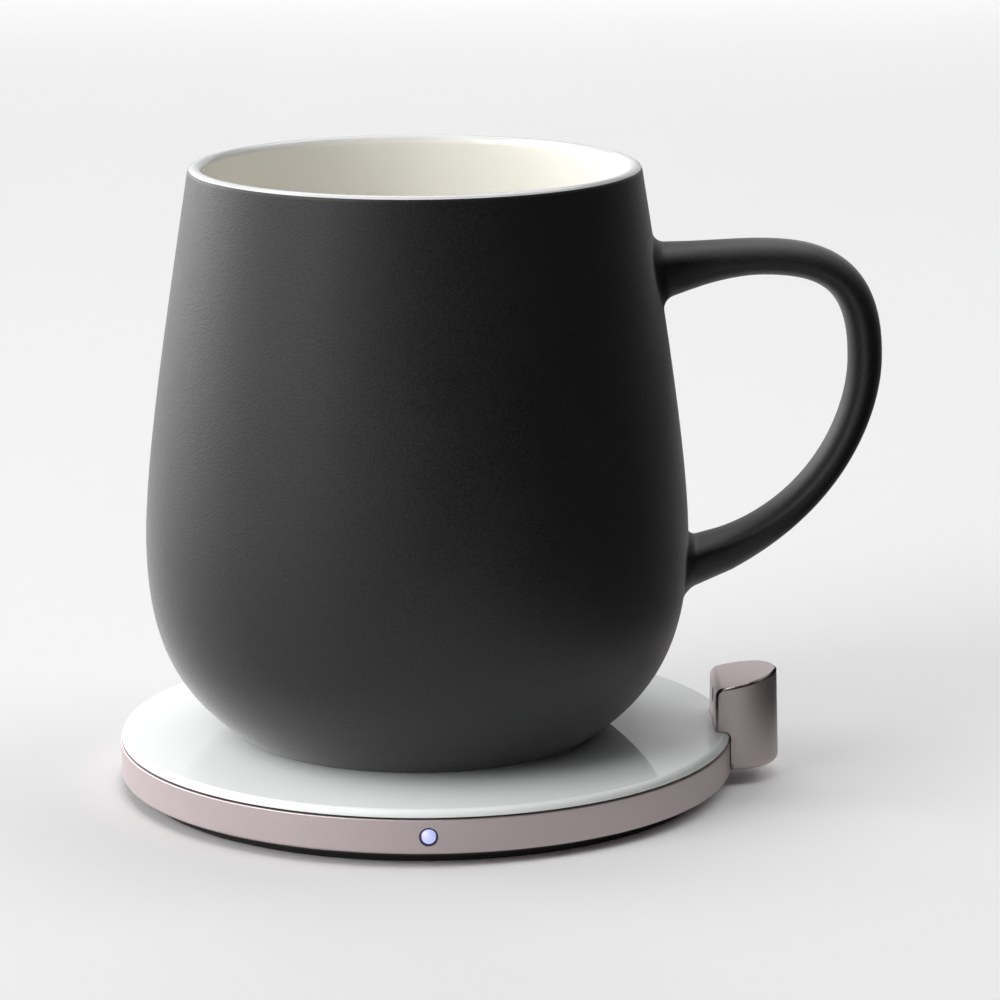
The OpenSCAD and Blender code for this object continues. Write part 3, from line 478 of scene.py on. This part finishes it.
# The handle's centreline: heights above the foot, its reach past the belly, its lower end's lean and the
# lengths of its straight pulls
HANDLE_TOP = 76.5 * MM
HANDLE_OUT = 28.4 * MM
HANDLE_OUT_HEIGHT = 60.5 * MM
HANDLE_LOW = 28.6 * MM
HANDLE_LOW_LEAN = math.radians(10)
HANDLE_TOP_PULL = 17 * MM
HANDLE_CORNER_PULL = 21.6 * MM
HANDLE_BACK_PULL = 11 * MM
HANDLE_LOW_PULL = 20.7 * MM
# How much wider the loop gets at its joints, and over which length
UPPER_FLARE, UPPER_FLARE_LENGTH = 3.8 * MM, 17.2 * MM
LOWER_FLARE, LOWER_FLARE_LENGTH = 3.8 * MM, 27.2 * MM
SIDE_FLARE, SIDE_FLARE_LENGTH = 1.8 * MM, 10 * MM
# The plain part of the loop starts this far from the body, past the fillet
HANDLE_CLEAR = 4.5 * MM
# The fillet's edge runs on under the body's skin by this much, over this length
SKIRT_DEPTH, SKIRT_LENGTH = 0.1 * MM, 0.7 * MM
# Rays that find the body's skin start this far out
RAY_START = 20 * MM
# Sides of the loop's section, steps along each half of the loop and round its fillets
HANDLE_SIDES = 40
HANDLE_STEPS = 40
FILLET_STEPS = 8


def mug_lip(mug):
    """The lip's radius, its centre and the side's end below it."""
    radius = mug.lip_thickness / 2
    end = Vector((mug.rim_radius, mug.height - radius))
    return radius, end - radius * Vector((math.cos(RIM_LEAN), math.sin(RIM_LEAN))), end


def below_rim(place):
    """The control point that pulls a side's curve down and out from its end at the rim."""
    return place[0] + RIM_PULL * math.sin(RIM_LEAN), place[1] - RIM_PULL * math.cos(RIM_LEAN)


def mug_inside(mug, depth):
    """The line from the glaze's end on the lip down to the axis, moved into the wall by depth."""
    radius, centre, _ = mug_lip(mug)
    lap = arc(centre, radius - depth, GLAZE_LAP, 180 + math.degrees(RIM_LEAN), LIP_STEPS)
    start = (lap[-1].x, lap[-1].z)
    belly = (mug.belly_radius - mug.wall + depth, mug.belly_height)
    floor = (INNER_FLOOR_RADIUS, INNER_FLOOR - depth)
    side = curve(start, below_rim(start), (belly[0], belly[1] + BELLY_PULL_UP), belly)
    base = curve(belly, (belly[0], belly[1] - INNER_BELLY_PULL), (floor[0] + INNER_FLOOR_PULL, floor[1]),
                 floor)
    return lap + side + base + [Vector((0, 0, floor[1]))]


class HEATEDMUG_OT_body(bpy.types.Operator):
    """Turns the mug's stoneware body"""
    bl_idname = "heated_mug.body"
    bl_label = "Mug body"

    def execute(self, context):
        mug = context.scene.heated_mug.mug
        radius, centre, end = mug_lip(mug)
        foot = (mug.foot_radius, 0)
        belly = (mug.belly_radius, mug.belly_height)
        base = curve(foot, (foot[0] + FOOT_PULL * math.sin(FOOT_LEAN), FOOT_PULL * math.cos(FOOT_LEAN)),
                     (belly[0], belly[1] - BELLY_PULL_DOWN), belly)
        side = curve(belly, (belly[0], belly[1] + BELLY_PULL_UP), below_rim(end), end)
        lip = arc(centre, radius, math.degrees(RIM_LEAN), GLAZE_LAP, LIP_STEPS)[1:]
        recess = mug.foot_radius - FOOT_RING
        under = [Vector((0, 0, FOOT_RECESS)), Vector((recess, 0, FOOT_RECESS)), Vector((recess, 0, 0))]
        line = [Vector((foot[0], 0, 0))] + base + side + lip + mug_inside(mug, mug.glaze_thickness) + under
        mesh = turned(line, closed=True)
        bmesh.ops.translate(mesh, verts=mesh.verts, vec=MUG_FOOT)
        piece("mug_clay", mesh, "mug", "dark_stoneware", [stoneware(mug)], "mug_body")
        return {"FINISHED"}


class HEATEDMUG_OT_lining(bpy.types.Operator):
    """Pours the cream glaze that lines the mug and laps over its lip"""
    bl_idname = "heated_mug.lining"
    bl_label = "Mug lining"

    def execute(self, context):
        mug = context.scene.heated_mug.mug
        mesh = turned(mug_inside(mug, 0)[::-1] + mug_inside(mug, mug.glaze_thickness))
        bmesh.ops.translate(mesh, verts=mesh.verts, vec=MUG_FOOT)
        piece("mug_lining", mesh, "mug", "cream_glaze", [cream_glaze(mug)], "mug_glaze")
        return {"FINISHED"}


def flare(size, distance, reach):
    """How much wider the loop is at a distance from the body."""
    return size * max(0, 1 - max(0, distance) / reach) ** 2


def on_skin(skin, start, way):
    """Where a ray meets the mug's body."""
    hit = skin.ray_cast(start, way)[0]
    if hit is None:
        raise RuntimeError("the handle's end misses the mug's body")
    return hit


class HEATEDMUG_OT_handle(bpy.types.Operator):
    """Draws the handle's loop along its centreline and runs both ends into the body"""
    bl_idname = "heated_mug.handle"
    bl_label = "Mug handle"

    def section(self, mug, upper, distance, share=0.0):
        """Reach of the loop's section outwards, inwards and across, part of the way to its far point."""
        near = mug.handle_thickness if upper else mug.handle_low_thickness
        half = (near + (mug.handle_far_thickness - near) * share) / 2
        outer = half + (0 if upper else flare(LOWER_FLARE, distance, LOWER_FLARE_LENGTH))
        inner = half + (flare(UPPER_FLARE, distance, UPPER_FLARE_LENGTH) if upper else 0)
        return outer, inner, mug.handle_width / 2 + flare(SIDE_FLARE, distance, SIDE_FLARE_LENGTH)

    def plain(self, mug, upper, centre, way, distance, share):
        """A station on the open loop: an oval square to the centreline."""
        outer, inner, half = self.section(mug, upper, distance, share)
        normal = Vector((-way.z, 0, way.x))
        return lambda u, w: centre + normal * u * (outer if u > 0 else inner) + Vector((0, half * w, 0))

    def rooted(self, mug, upper, centre, out, normal, skin, turn):
        """A station on the fillet, at a turn from 0 at the loop to 1 at the skin, or past 1 below it."""
        radius = mug.handle_fillet
        bend = min(turn, 1) * math.pi / 2
        height = radius * (1 - math.sin(bend)) - (SKIRT_DEPTH if turn > 1 else 0)
        spread = radius * (1 - math.cos(bend)) + (SKIRT_LENGTH if turn > 1 else 0)

        def place(u, w):
            # The skin curves away from the joint, so the flare is taken again where the first ray met it
            distance = height
            for _ in range(2):
                outer, inner, half = self.section(mug, upper, distance)
                reach = outer if u > 0 else inner
                aside = (normal * (u / reach) + Vector((0, w / half, 0))).normalized()
                flat = centre + normal * u * reach + Vector((0, half * w, 0)) + aside * spread
                hit = on_skin(skin, flat + out * RAY_START, -out)
                distance = (hit - centre).x + height
            return hit + out * height
        return place

    def execute(self, context):
        mug = context.scene.heated_mug.mug
        body = bpy.data.objects.get("mug_clay")
        if body is None:
            raise RuntimeError("the mug's body has to be there before its handle")
        skin = BVHTree.FromObject(body, context.evaluated_depsgraph_get())
        out, up = Vector((1, 0, 0)), Vector((0, 0, 1))
        top, low = [on_skin(skin, MUG_FOOT + Vector((mug.belly_radius + RAY_START, 0, z)), -out)
                    for z in (HANDLE_TOP, HANDLE_LOW)]
        far = MUG_FOOT + Vector((mug.belly_radius + HANDLE_OUT, 0, HANDLE_OUT_HEIGHT))
        low_way = Vector((math.cos(HANDLE_LOW_LEAN), 0, math.sin(HANDLE_LOW_LEAN)))
        low_normal = Vector((low_way.z, 0, -low_way.x))
        upper = interpolate_bezier(top, top + out * HANDLE_TOP_PULL, far + up * HANDLE_CORNER_PULL, far,
                                   HANDLE_STEPS + 1)
        lower = interpolate_bezier(far, far - up * HANDLE_BACK_PULL, low + low_way * HANDLE_LOW_PULL, low,
                                   HANDLE_STEPS + 1)
        line = upper + lower[1:]
        turns = [i / FILLET_STEPS for i in range(FILLET_STEPS + 2)]
        stations = [self.rooted(mug, True, top, out, up, skin, t) for t in reversed(turns)]
        for i in range(1, len(line) - 1):
            is_upper = i <= HANDLE_STEPS
            distance = line[i].x - (top.x if is_upper else low.x)
            share = (i if is_upper else 2 * HANDLE_STEPS - i) / HANDLE_STEPS
            if distance > HANDLE_CLEAR:
                way = (line[i + 1] - line[i - 1]).normalized()
                stations.append(self.plain(mug, is_upper, line[i], way, distance, share))
        stations += [self.rooted(mug, False, low, low_way, low_normal, skin, t) for t in turns]
        mesh = lofted(stations, HANDLE_SIDES)
        piece("mug_loop", mesh, "mug", "dark_stoneware", list(body.data.materials), "mug_handle")
        return {"FINISHED"}


# Pad

# How far the glass plate's lower edge is broken
GLASS_BROKEN = 0.1 * MM
# Width of the gasket, and how far its squeezed edge draws in between the faces that it joins
GASKET_WIDTH = 3 * MM
GASKET_BULGE = 0.06 * MM
# Radius of the ring's round wall
RING_RADIUS = 50 * MM

# The post's axis, its top over the axis, the top's slope, its flat and the rounding between top and flat
POST_AXIS = 49.8 * MM
POST_TOP = 16.6 * MM
POST_SLOPE = math.radians(11.3)
POST_FLAT = POST_LOW.x
POST_CORNER = 1.5 * MM
# Radius of the post's wall at two heights: over the rounded foot and at the top
POST_WALL = ((3.65 * MM, 8.05 * MM), (18.3285 * MM, 7.65 * MM))
# Steps of the cut round half the wall, and how far its hull stands clear of the post elsewhere
CUT_STEPS = 48
CUT_CLEAR = 0.01 * MM

# Steps round the light pipe, and its play in the surround
PIPE_STEPS = 64
PIPE_PLAY = 0.1 * MM

# The sole's broken edge and its grooves, whose section is given in depths
SOLE_EDGE = 0.2 * MM
GROOVES = 4
GROOVE_MARGIN = 4 * MM
GROOVE_PITCH = 3 * MM
GROOVE_DEPTH = 0.35 * MM
GROOVE_SECTION = ((1.6, 0), (0.7, 1), (-0.7, 1), (-1.6, 0))

# Radii of the coil's first and last turn, its turns, and steps round each turn and its wire
COIL_INNER = 9.5 * MM
COIL_OUTER = 23.5 * MM
COIL_TURNS = 10.25
COIL_STEPS = 48
COIL_SIDES = 10

# Contacts on each face of the socket's tongue
CONTACTS = 12
CONTACT_PITCH = 0.5 * MM
CONTACT_WIDTH = 0.25 * MM
CONTACT_LENGTH = 3 * MM
CONTACT_MARGIN = 0.4 * MM
CONTACT_PROUD = 0.06 * MM


class HEATEDMUG_OT_glass(bpy.types.Operator):
    """Turns the glass plate and the dark gasket under it"""
    bl_idname = "heated_mug.glass"
    bl_label = "Glass plate and gasket"

    def execute(self, context):
        pad = context.scene.heated_mug.pad
        edge, radius = pad.glass_edge, GLASS_HIGH.x
        line = [Vector((0, 0, GLASS_LOW.z)), Vector((radius - GLASS_BROKEN, 0, GLASS_LOW.z)),
                Vector((radius, 0, GLASS_LOW.z + GLASS_BROKEN))]
        line += arc((radius - edge, GLASS_HIGH.z - edge), edge, 0, 90, LIP_STEPS)
        line.append(Vector((0, 0, GLASS_HIGH.z)))
        plate = turned(line)
        for face in plate.faces:
            face.material_index = face.calc_center_median().xy.length > radius - edge
        piece("glass_plate", plate, "pad", "white_glass", [white_glass(pad), ground_edge(pad)], "glass_top")

        # Closed-cell foam tape: dead black, with a cut edge that shows its cells
        foam = grained("black_foam_tape", linear("#0c0c0d"), linear("#171718"), 0.3, (0.8, 0.95), 0.02,
                       IOR=1.5)
        low, high = GASKET_LOW.z, GASKET_HIGH.z
        outer, inner = GASKET_HIGH.x, GASKET_HIGH.x - GASKET_WIDTH
        section = [(inner, low), (outer, low), (outer - GASKET_BULGE, (low + high) / 2), (outer, high),
                   (inner, high)]
        piece("glass_seal", turned(section, closed=True), "pad", "black_gasket", [foam], "glass_gasket")
        return {"FINISHED"}


class HEATEDMUG_OT_ring(bpy.types.Operator):
    """Dresses the pad's anodised rim ring"""
    bl_idname = "heated_mug.ring"
    bl_label = "Rim ring"

    def execute(self, context):
        metal = anodised(context.scene.heated_mug.pad)
        made = piece("ring_band", copied("rim_ring"), "pad", "mauve_anodised", [metal], "rim_ring")
        true_round(made, 0, lambda z: RING_RADIUS)
        return {"FINISHED"}


def post_wall(z):
    """Radius of the post's wall at a height."""
    (low, wide), (high, narrow) = POST_WALL
    return wide + (narrow - wide) * (z - low) / (high - low)


class HEATEDMUG_OT_post(bpy.types.Operator):
    """Dresses the sensor post, with a polished cut along the edges of its curved side"""
    bl_idname = "heated_mug.post"
    bl_label = "Sensor post"

    def hull(self, depth):
        """A hull that clears the post's faces and cuts depth off its wall's edges with its flat and top."""
        mesh = bmesh.new()
        slope, level = math.tan(POST_SLOPE), math.cos(POST_SLOPE)
        taper = (post_wall(POST_TOP) - post_wall(0)) / POST_TOP
        under = POST_LOW.z - POST_CORNER
        corner_x = POST_FLAT + POST_CORNER
        corner_z = POST_TOP + (corner_x - POST_AXIS) * slope - POST_CORNER / level
        for wall_in, cap_in in ((-CUT_CLEAR, depth), (depth, -CUT_CLEAR)):
            top = POST_TOP - cap_in / level
            line = [Vector((POST_FLAT + cap_in, 0, under))]
            line += arc((corner_x, corner_z), POST_CORNER - cap_in, 180, 90 + math.degrees(POST_SLOPE),
                        LIP_STEPS)
            start = math.acos((line[-1].x - POST_AXIS) / (post_wall(line[-1].z) - wall_in))
            for i in range(1, CUT_STEPS + 1):
                a = start * (1 - i / CUT_STEPS)
                turn = Vector((math.cos(a), math.sin(a), 0))
                x = turn.x * (post_wall(top) - wall_in) / (1 - taper * slope * turn.x)
                line.append(Vector((POST_AXIS + x, 0, top + x * slope)))
                if cap_in > 0:
                    foot = turn * (post_wall(under) - wall_in)
                    for side in (-1, 1):
                        mesh.verts.new((POST_AXIS + foot.x, side * foot.y, under))
            for place in line:
                half = math.sqrt(max(0, (post_wall(place.z) - wall_in) ** 2 - (place.x - POST_AXIS) ** 2))
                for side in (-1, 1):
                    mesh.verts.new((place.x, side * half, place.z))
        bmesh.ops.remove_doubles(mesh, verts=mesh.verts, dist=MERGE)
        made = bmesh.ops.convex_hull(mesh, input=mesh.verts)
        spare = made["geom_interior"] + made["geom_unused"]
        inside = {v for v in spare if isinstance(v, bmesh.types.BMVert)}
        bmesh.ops.delete(mesh, geom=list(inside), context="VERTS")
        for face in mesh.faces:
            face.material_index = 1
        return mesh

    def execute(self, context):
        pad = context.scene.heated_mug.pad
        metals = [anodised(pad), polished_cut(pad)]
        blank = placed("post_blank", copied("post_shell"), metals)
        # The cut's width lies across a square edge
        hull = placed("post_hull", self.hull(pad.chamfer / math.sqrt(2)), metals)
        cut = blank.modifiers.new("cut", "BOOLEAN")
        cut.operation, cut.solver, cut.material_mode, cut.object = "INTERSECT", "EXACT", "INDEX", hull
        data = bpy.data.meshes.new_from_object(blank.evaluated_get(context.evaluated_depsgraph_get()))
        mesh = bmesh.new()
        mesh.from_mesh(data)
        for each in (data, blank.data, hull.data):
            bpy.data.meshes.remove(each)
        if not any(face.material_index == 1 for face in mesh.faces):
            raise RuntimeError("the post's edges were not cut")
        post = piece("sensor_post", mesh, "pad", "mauve_anodised", metals, "post_shell")
        true_round(post, POST_AXIS, post_wall)
        return {"FINISHED"}


class HEATEDMUG_OT_light(bpy.types.Operator):
    """Turns the indicator's light pipe and its dark surround"""
    bl_idname = "heated_mug.light"
    bl_label = "Indicator light"

    def execute(self, context):
        turn = Matrix.Translation((0, 0, PIPE_HEIGHT)) @ Matrix.Rotation(math.pi / 2, 4, "X")
        radius = PIPE_HIGH.x
        tip, back, mouth = -PIPE_LOW.y, -PIPE_HIGH.y, -BEZEL_LOW.y
        dome = tip - mouth
        ball = (radius ** 2 + dome ** 2) / (2 * dome)
        line = [Vector((0, 0, back)), Vector((radius, 0, back))]
        line += arc((0, tip - ball), ball, math.degrees(math.acos(radius / ball)), 90, LIP_STEPS)
        mesh = turned(line, steps=PIPE_STEPS)
        bmesh.ops.transform(mesh, matrix=turn, verts=mesh.verts)
        milky = lit_pipe(context.scene.heated_mug.pad)
        piece("light_dome", mesh, "pad", "lit_pipe", [milky], "light_pipe")

        # Dark dyed polycarbonate: a smooth black ring that catches a thin gleam
        dark = grained("black_polycarbonate", linear("#17171c"), linear("#202027"), 0.5, (0.2, 0.3),
                       IOR=1.58)
        outer, inner, start = BEZEL_HIGH.x, radius + PIPE_PLAY, -BEZEL_HIGH.y
        section = [(inner, start), (outer, start), (outer, mouth), (inner, mouth - (outer - inner))]
        mesh = turned(section, closed=True, steps=PIPE_STEPS)
        bmesh.ops.transform(mesh, matrix=turn, verts=mesh.verts)
        piece("light_bezel", mesh, "pad", "black_plastic", [dark], "light_surround")
        return {"FINISHED"}


class HEATEDMUG_OT_sole(bpy.types.Operator):
    """Turns the soft sole, with shallow grooves that keep it from sliding"""
    bl_idname = "heated_mug.sole"
    bl_label = "Sole"

    def execute(self, context):
        radius = SOLE_HIGH.x
        line = [Vector((0, 0, SOLE_HIGH.z)), Vector((radius, 0, SOLE_HIGH.z)),
                Vector((radius, 0, SOLE_LOW.z + SOLE_EDGE)), Vector((radius - SOLE_EDGE, 0, SOLE_LOW.z))]
        for i in range(GROOVES):
            middle = radius - GROOVE_MARGIN - i * GROOVE_PITCH
            line += [Vector((middle + dx * GROOVE_DEPTH, 0, SOLE_LOW.z + dz * GROOVE_DEPTH))
                     for dx, dz in GROOVE_SECTION]
        line.append(Vector((0, 0, SOLE_LOW.z)))
        # Moulded silicone: black, soft and dusty, with almost no gleam
        silicone = grained("moulded_black_silicone", linear("#0f0f10"), linear("#19191a"), 0.35,
                           (0.62, 0.75), 0.008, IOR=1.41)
        piece("sole_pad", turned(line), "pad", "black_silicone", [silicone], "silicone_sole")
        return {"FINISHED"}


class HEATEDMUG_OT_coil(bpy.types.Operator):
    """Winds the induction coil as a flat spiral of round wire"""
    bl_idname = "heated_mug.coil"
    bl_label = "Induction coil"

    def execute(self, context):
        radius = context.scene.heated_mug.pad.wire / 2
        height = (COIL_LOW.z + COIL_HIGH.z) / 2
        pitch = (COIL_OUTER - COIL_INNER) / COIL_TURNS
        places = []
        for i in range(round(COIL_TURNS * COIL_STEPS) + 1):
            a = math.tau * i / COIL_STEPS
            r = COIL_INNER + pitch * i / COIL_STEPS
            places.append(Vector((r * math.cos(a), r * math.sin(a), height)))
        # Each end runs straight for one wire diameter
        first = (places[0] - places[1]).normalized()
        last = (places[-1] - places[-2]).normalized()
        places = [places[0] + first * 2 * radius] + places + [places[-1] + last * 2 * radius]

        def station(i):
            way = (places[min(i + 1, len(places) - 1)] - places[max(i - 1, 0)]).normalized()
            side = Vector((way.y, -way.x, 0))
            return lambda u, w: places[i] + radius * (side * u + Vector((0, 0, w)))

        mesh = lofted([station(i) for i in range(len(places))], COIL_SIDES)
        # Bonded litz wire: copper strands under amber lacquer
        litz = grained("lacquered_litz_copper", linear("#9c5526"), linear("#c77b41"), 0.5, (0.22, 0.34),
                       0.01, Metallic=1.0)
        piece("coil_winding", mesh, "pad", "copper", [litz], "induction_coil")
        return {"FINISHED"}


class HEATEDMUG_OT_contacts(bpy.types.Operator):
    """Lays the gilt contacts on both faces of the socket's tongue"""
    bl_idname = "heated_mug.contacts"
    bl_label = "Socket contacts"

    def execute(self, context):
        mesh = bmesh.new()
        middle = (TONGUE_LOW + TONGUE_HIGH) / 2
        size = Vector((CONTACT_WIDTH, CONTACT_LENGTH, CONTACT_PROUD))
        for face in (TONGUE_LOW.z, TONGUE_HIGH.z):
            for i in range(CONTACTS):
                x = middle.x + (i - (CONTACTS - 1) / 2) * CONTACT_PITCH
                place = Vector((x, TONGUE_HIGH.y - CONTACT_MARGIN - CONTACT_LENGTH / 2, face))
                bmesh.ops.create_cube(mesh, size=1, matrix=Matrix.LocRotScale(place, None, size))
        # Hard gold over nickel: a thin warm mirror
        gold = grained("hard_gold", linear("#c9a24a"), linear("#e0bf6c"), 0.4, (0.18, 0.26), Metallic=1.0)
        piece("socket_contacts", mesh, "pad", "socket_steel", [gold])
        return {"FINISHED"}


class HEATEDMUG_OT_works(bpy.types.Operator):
    """Gives the pieces that keep their shape their own finishes"""
    bl_idname = "heated_mug.works"
    bl_label = "Finishes of the works"

    def execute(self, context):
        board = solder_mask()
        finishes = {"circuit_board": board, "sensor_board": board, "heating_film": fired_silver()}
        for name, dark, pale, size, roughness, depth, constants, nodes in WORKS:
            finish = grained(name, linear(dark), linear(pale), size, roughness, depth, **constants)
            finishes.update(dict.fromkeys(nodes, finish))
        for name, finish in finishes.items():
            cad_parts[name].material_slots[0].material = finish
        return {"FINISHED"}


# Stage

# Where most soft boxes are aimed
MIDDLE = (0, 0, 0.05)
# Soft boxes: name, place, aim, width, height and brightness on the object and on the floor, which is lit
# apart
SOFT_BOXES = (
    ("front_box", (-0.35, -1.2, 0.25), MIDDLE, 0.4, 0.4, 1.3, 0.0),
    ("left_front_box", (-0.9, -0.6, 0.6), MIDDLE, 0.7, 0.6, 4.2, 4.47),
    ("left_front_low_box", (-0.85, -0.75, 0.25), MIDDLE, 0.5, 0.4, 2.0, 0.0),
    ("left_front_top_box", (-0.7, -0.5, 1.1), MIDDLE, 0.8, 0.8, 3.2, 0.68),
    ("left_box", (-1.2, 0.1, 0.25), MIDDLE, 0.8, 0.5, 2.4, 0.0),
    ("left_top_box", (-1.0, 0.1, 1.1), MIDDLE, 1.0, 0.8, 2.6, 0.12),
    ("left_back_box", (-1.35, 0.6, 0.45), MIDDLE, 0.8, 0.9, 3.2, 2.47),
    ("back_left_box", (-1.4, 1.4, 0.5), MIDDLE, 1.3, 1.0, 4.2, 0.0),
    ("back_box", (0.0, 2.0, 0.5), MIDDLE, 2.2, 1.0, 0.66, 3.17),
    ("back_top_box", (0.0, 1.2, 1.6), (0, 0.3, 0), 1.6, 0.8, 3.2, 0.0),
    ("top_box", (0.0, 0.1, 1.4), (0, 0.1, 0), 1.0, 1.0, 1.3, 2.72),
    ("front_top_box", (0.0, -0.5, 1.4), (0, 0, 0), 1.2, 0.6, 0.4, 0.0),
    ("right_top_box", (1.0, 0.1, 1.1), MIDDLE, 1.0, 0.8, 0.4, 1.69),
    ("right_back_box", (0.9, 0.8, 1.1), MIDDLE, 0.9, 0.8, 0.3, 0.65),
)
# How far the near sheet of the floor lies over the far one
FLOOR_GAP = 0.005 * MM
# The floor: name, middle, width, depth and whether the object mirrors it. Beyond the near sheet it mirrors
# a dark studio
FLOORS = (
    ("near_floor", (-0.11, 0.0, 0), 0.38, 0.5, True),
    ("far_floor", (0, 0, -FLOOR_GAP), 12.0, 12.0, False),
)
# Grain of the floor's paper in millimetres, too broad to be seen as more than an even tone
PAPER_GRAIN = 30
# The camera's sensor in millimetres and the depths that it sees in metres
SENSOR_WIDTH = 36
NEAR_CLIP, FAR_CLIP = 0.01, 50


class HEATEDMUG_OT_stage(bpy.types.Operator):
    """Sets the floor, the soft boxes and the camera"""
    bl_idname = "heated_mug.stage"
    bl_label = "Stage"

    def lay_floor(self, stage):
        """Lays the sheets of the floor."""
        # Matt paper: even and pale, with hardly a gleam
        paper = grained("matt_paper", dimmed(stage.floor, 0.995), stage.floor, PAPER_GRAIN, (0.85, 0.95),
                        IOR=1.3)
        floors = []
        for name, middle, width, depth, mirrored in FLOORS:
            mesh = bmesh.new()
            sheet = Matrix.LocRotScale(Vector(middle), None, Vector((width, depth, 1)))
            bmesh.ops.create_grid(mesh, x_segments=1, y_segments=1, size=0.5, matrix=sheet)
            floor = placed(name, mesh, [paper])
            floor.visible_glossy = floor.visible_diffuse = mirrored
            floors.append(floor)
        return floors

    def hang_lights(self, scene, floors):
        """Hangs each soft box for what it lights, the object, the floor or both, in a dark studio."""
        lit_apart = {}
        for kind, state in (("object", "EXCLUDE"), ("floor", "INCLUDE")):
            lit_apart[kind] = bpy.data.collections.new(kind + "_light")
            for floor in floors:
                lit_apart[kind].objects.link(floor)
            for member in lit_apart[kind].collection_objects:
                member.light_linking.link_state = state
        for name, place, aim, width, height, on_object, on_floor in SOFT_BOXES:
            for kind, brightness in (("object", on_object), ("floor", on_floor)):
                if not brightness:
                    continue
                lamp = bpy.data.lights.new(name, "AREA")
                lamp.shape, lamp.size, lamp.size_y = "RECTANGLE", width, height
                lamp.energy = math.pi * width * height * brightness
                box = bpy.data.objects.new(name, lamp)
                box.location = place
                box.rotation_euler = (Vector(aim) - Vector(place)).to_track_quat("-Z", "Y").to_euler()
                box.visible_camera = False
                box.light_linking.receiver_collection = lit_apart[kind]
                scene.collection.objects.link(box)
        scene.world = bpy.data.worlds.new("studio")
        scene.world.use_nodes = True
        scene.world.node_tree.nodes["Background"].inputs["Strength"].default_value = 0.0
        scene.view_settings.view_transform = "Standard"

    def stand_camera(self, scene, stage):
        """Stands the camera at the photograph's viewing angle."""
        data = bpy.data.cameras.new("camera")
        data.lens, data.sensor_width = stage.lens, SENSOR_WIDTH
        data.clip_start, data.clip_end = NEAR_CLIP, FAR_CLIP
        camera = bpy.data.objects.new("camera", data)
        camera.matrix_world = (
            Matrix.Translation(stage.camera_place)
            @ Matrix.Rotation(-stage.camera_turn, 4, "Z")
            @ Matrix.Rotation(math.pi / 2 - stage.camera_tilt, 4, "X")
            @ Matrix.Rotation(stage.camera_roll, 4, "Z"))
        scene.collection.objects.link(camera)
        scene.camera = camera

    def execute(self, context):
        scene, stage = context.scene, context.scene.heated_mug.stage
        self.hang_lights(scene, self.lay_floor(stage))
        self.stand_camera(scene, stage)
        return {"FINISHED"}


OPERATORS = (
    HEATEDMUG_OT_stage, HEATEDMUG_OT_body, HEATEDMUG_OT_lining, HEATEDMUG_OT_handle, HEATEDMUG_OT_glass,
    HEATEDMUG_OT_ring, HEATEDMUG_OT_post, HEATEDMUG_OT_light, HEATEDMUG_OT_sole, HEATEDMUG_OT_coil,
    HEATEDMUG_OT_contacts, HEATEDMUG_OT_works,
)


class HEATEDMUG_PT_panel(bpy.types.Panel):
    """Sizes, colours and pieces of the self-heating mug"""
    bl_idname = "HEATEDMUG_PT_panel"
    bl_label = "Self-heating mug"
    bl_space_type = "VIEW_3D"
    bl_region_type = "UI"
    bl_category = "Mug"

    def draw(self, context):
        settings = context.scene.heated_mug
        for group in (settings.mug, settings.pad, settings.stage):
            box = self.layout.box()
            for name in group.__annotations__:
                box.prop(group, name)
        for operator in OPERATORS:
            self.layout.operator(operator.bl_idname)


CLASSES = (MugSettings, PadSettings, StageSettings, HeatedMugSettings) + OPERATORS + (HEATEDMUG_PT_panel,)


def register():
    for each in CLASSES:
        bpy.utils.register_class(each)
    bpy.types.Scene.heated_mug = bpy.props.PointerProperty(type=HeatedMugSettings)


def unregister():
    del bpy.types.Scene.heated_mug
    for each in reversed(CLASSES):
        bpy.utils.unregister_class(each)


def main():
    register()
    for operator in OPERATORS:
        group, name = operator.bl_idname.split(".")
        getattr(getattr(bpy.ops, group), name)()


if __name__ == "__main__":
    main()
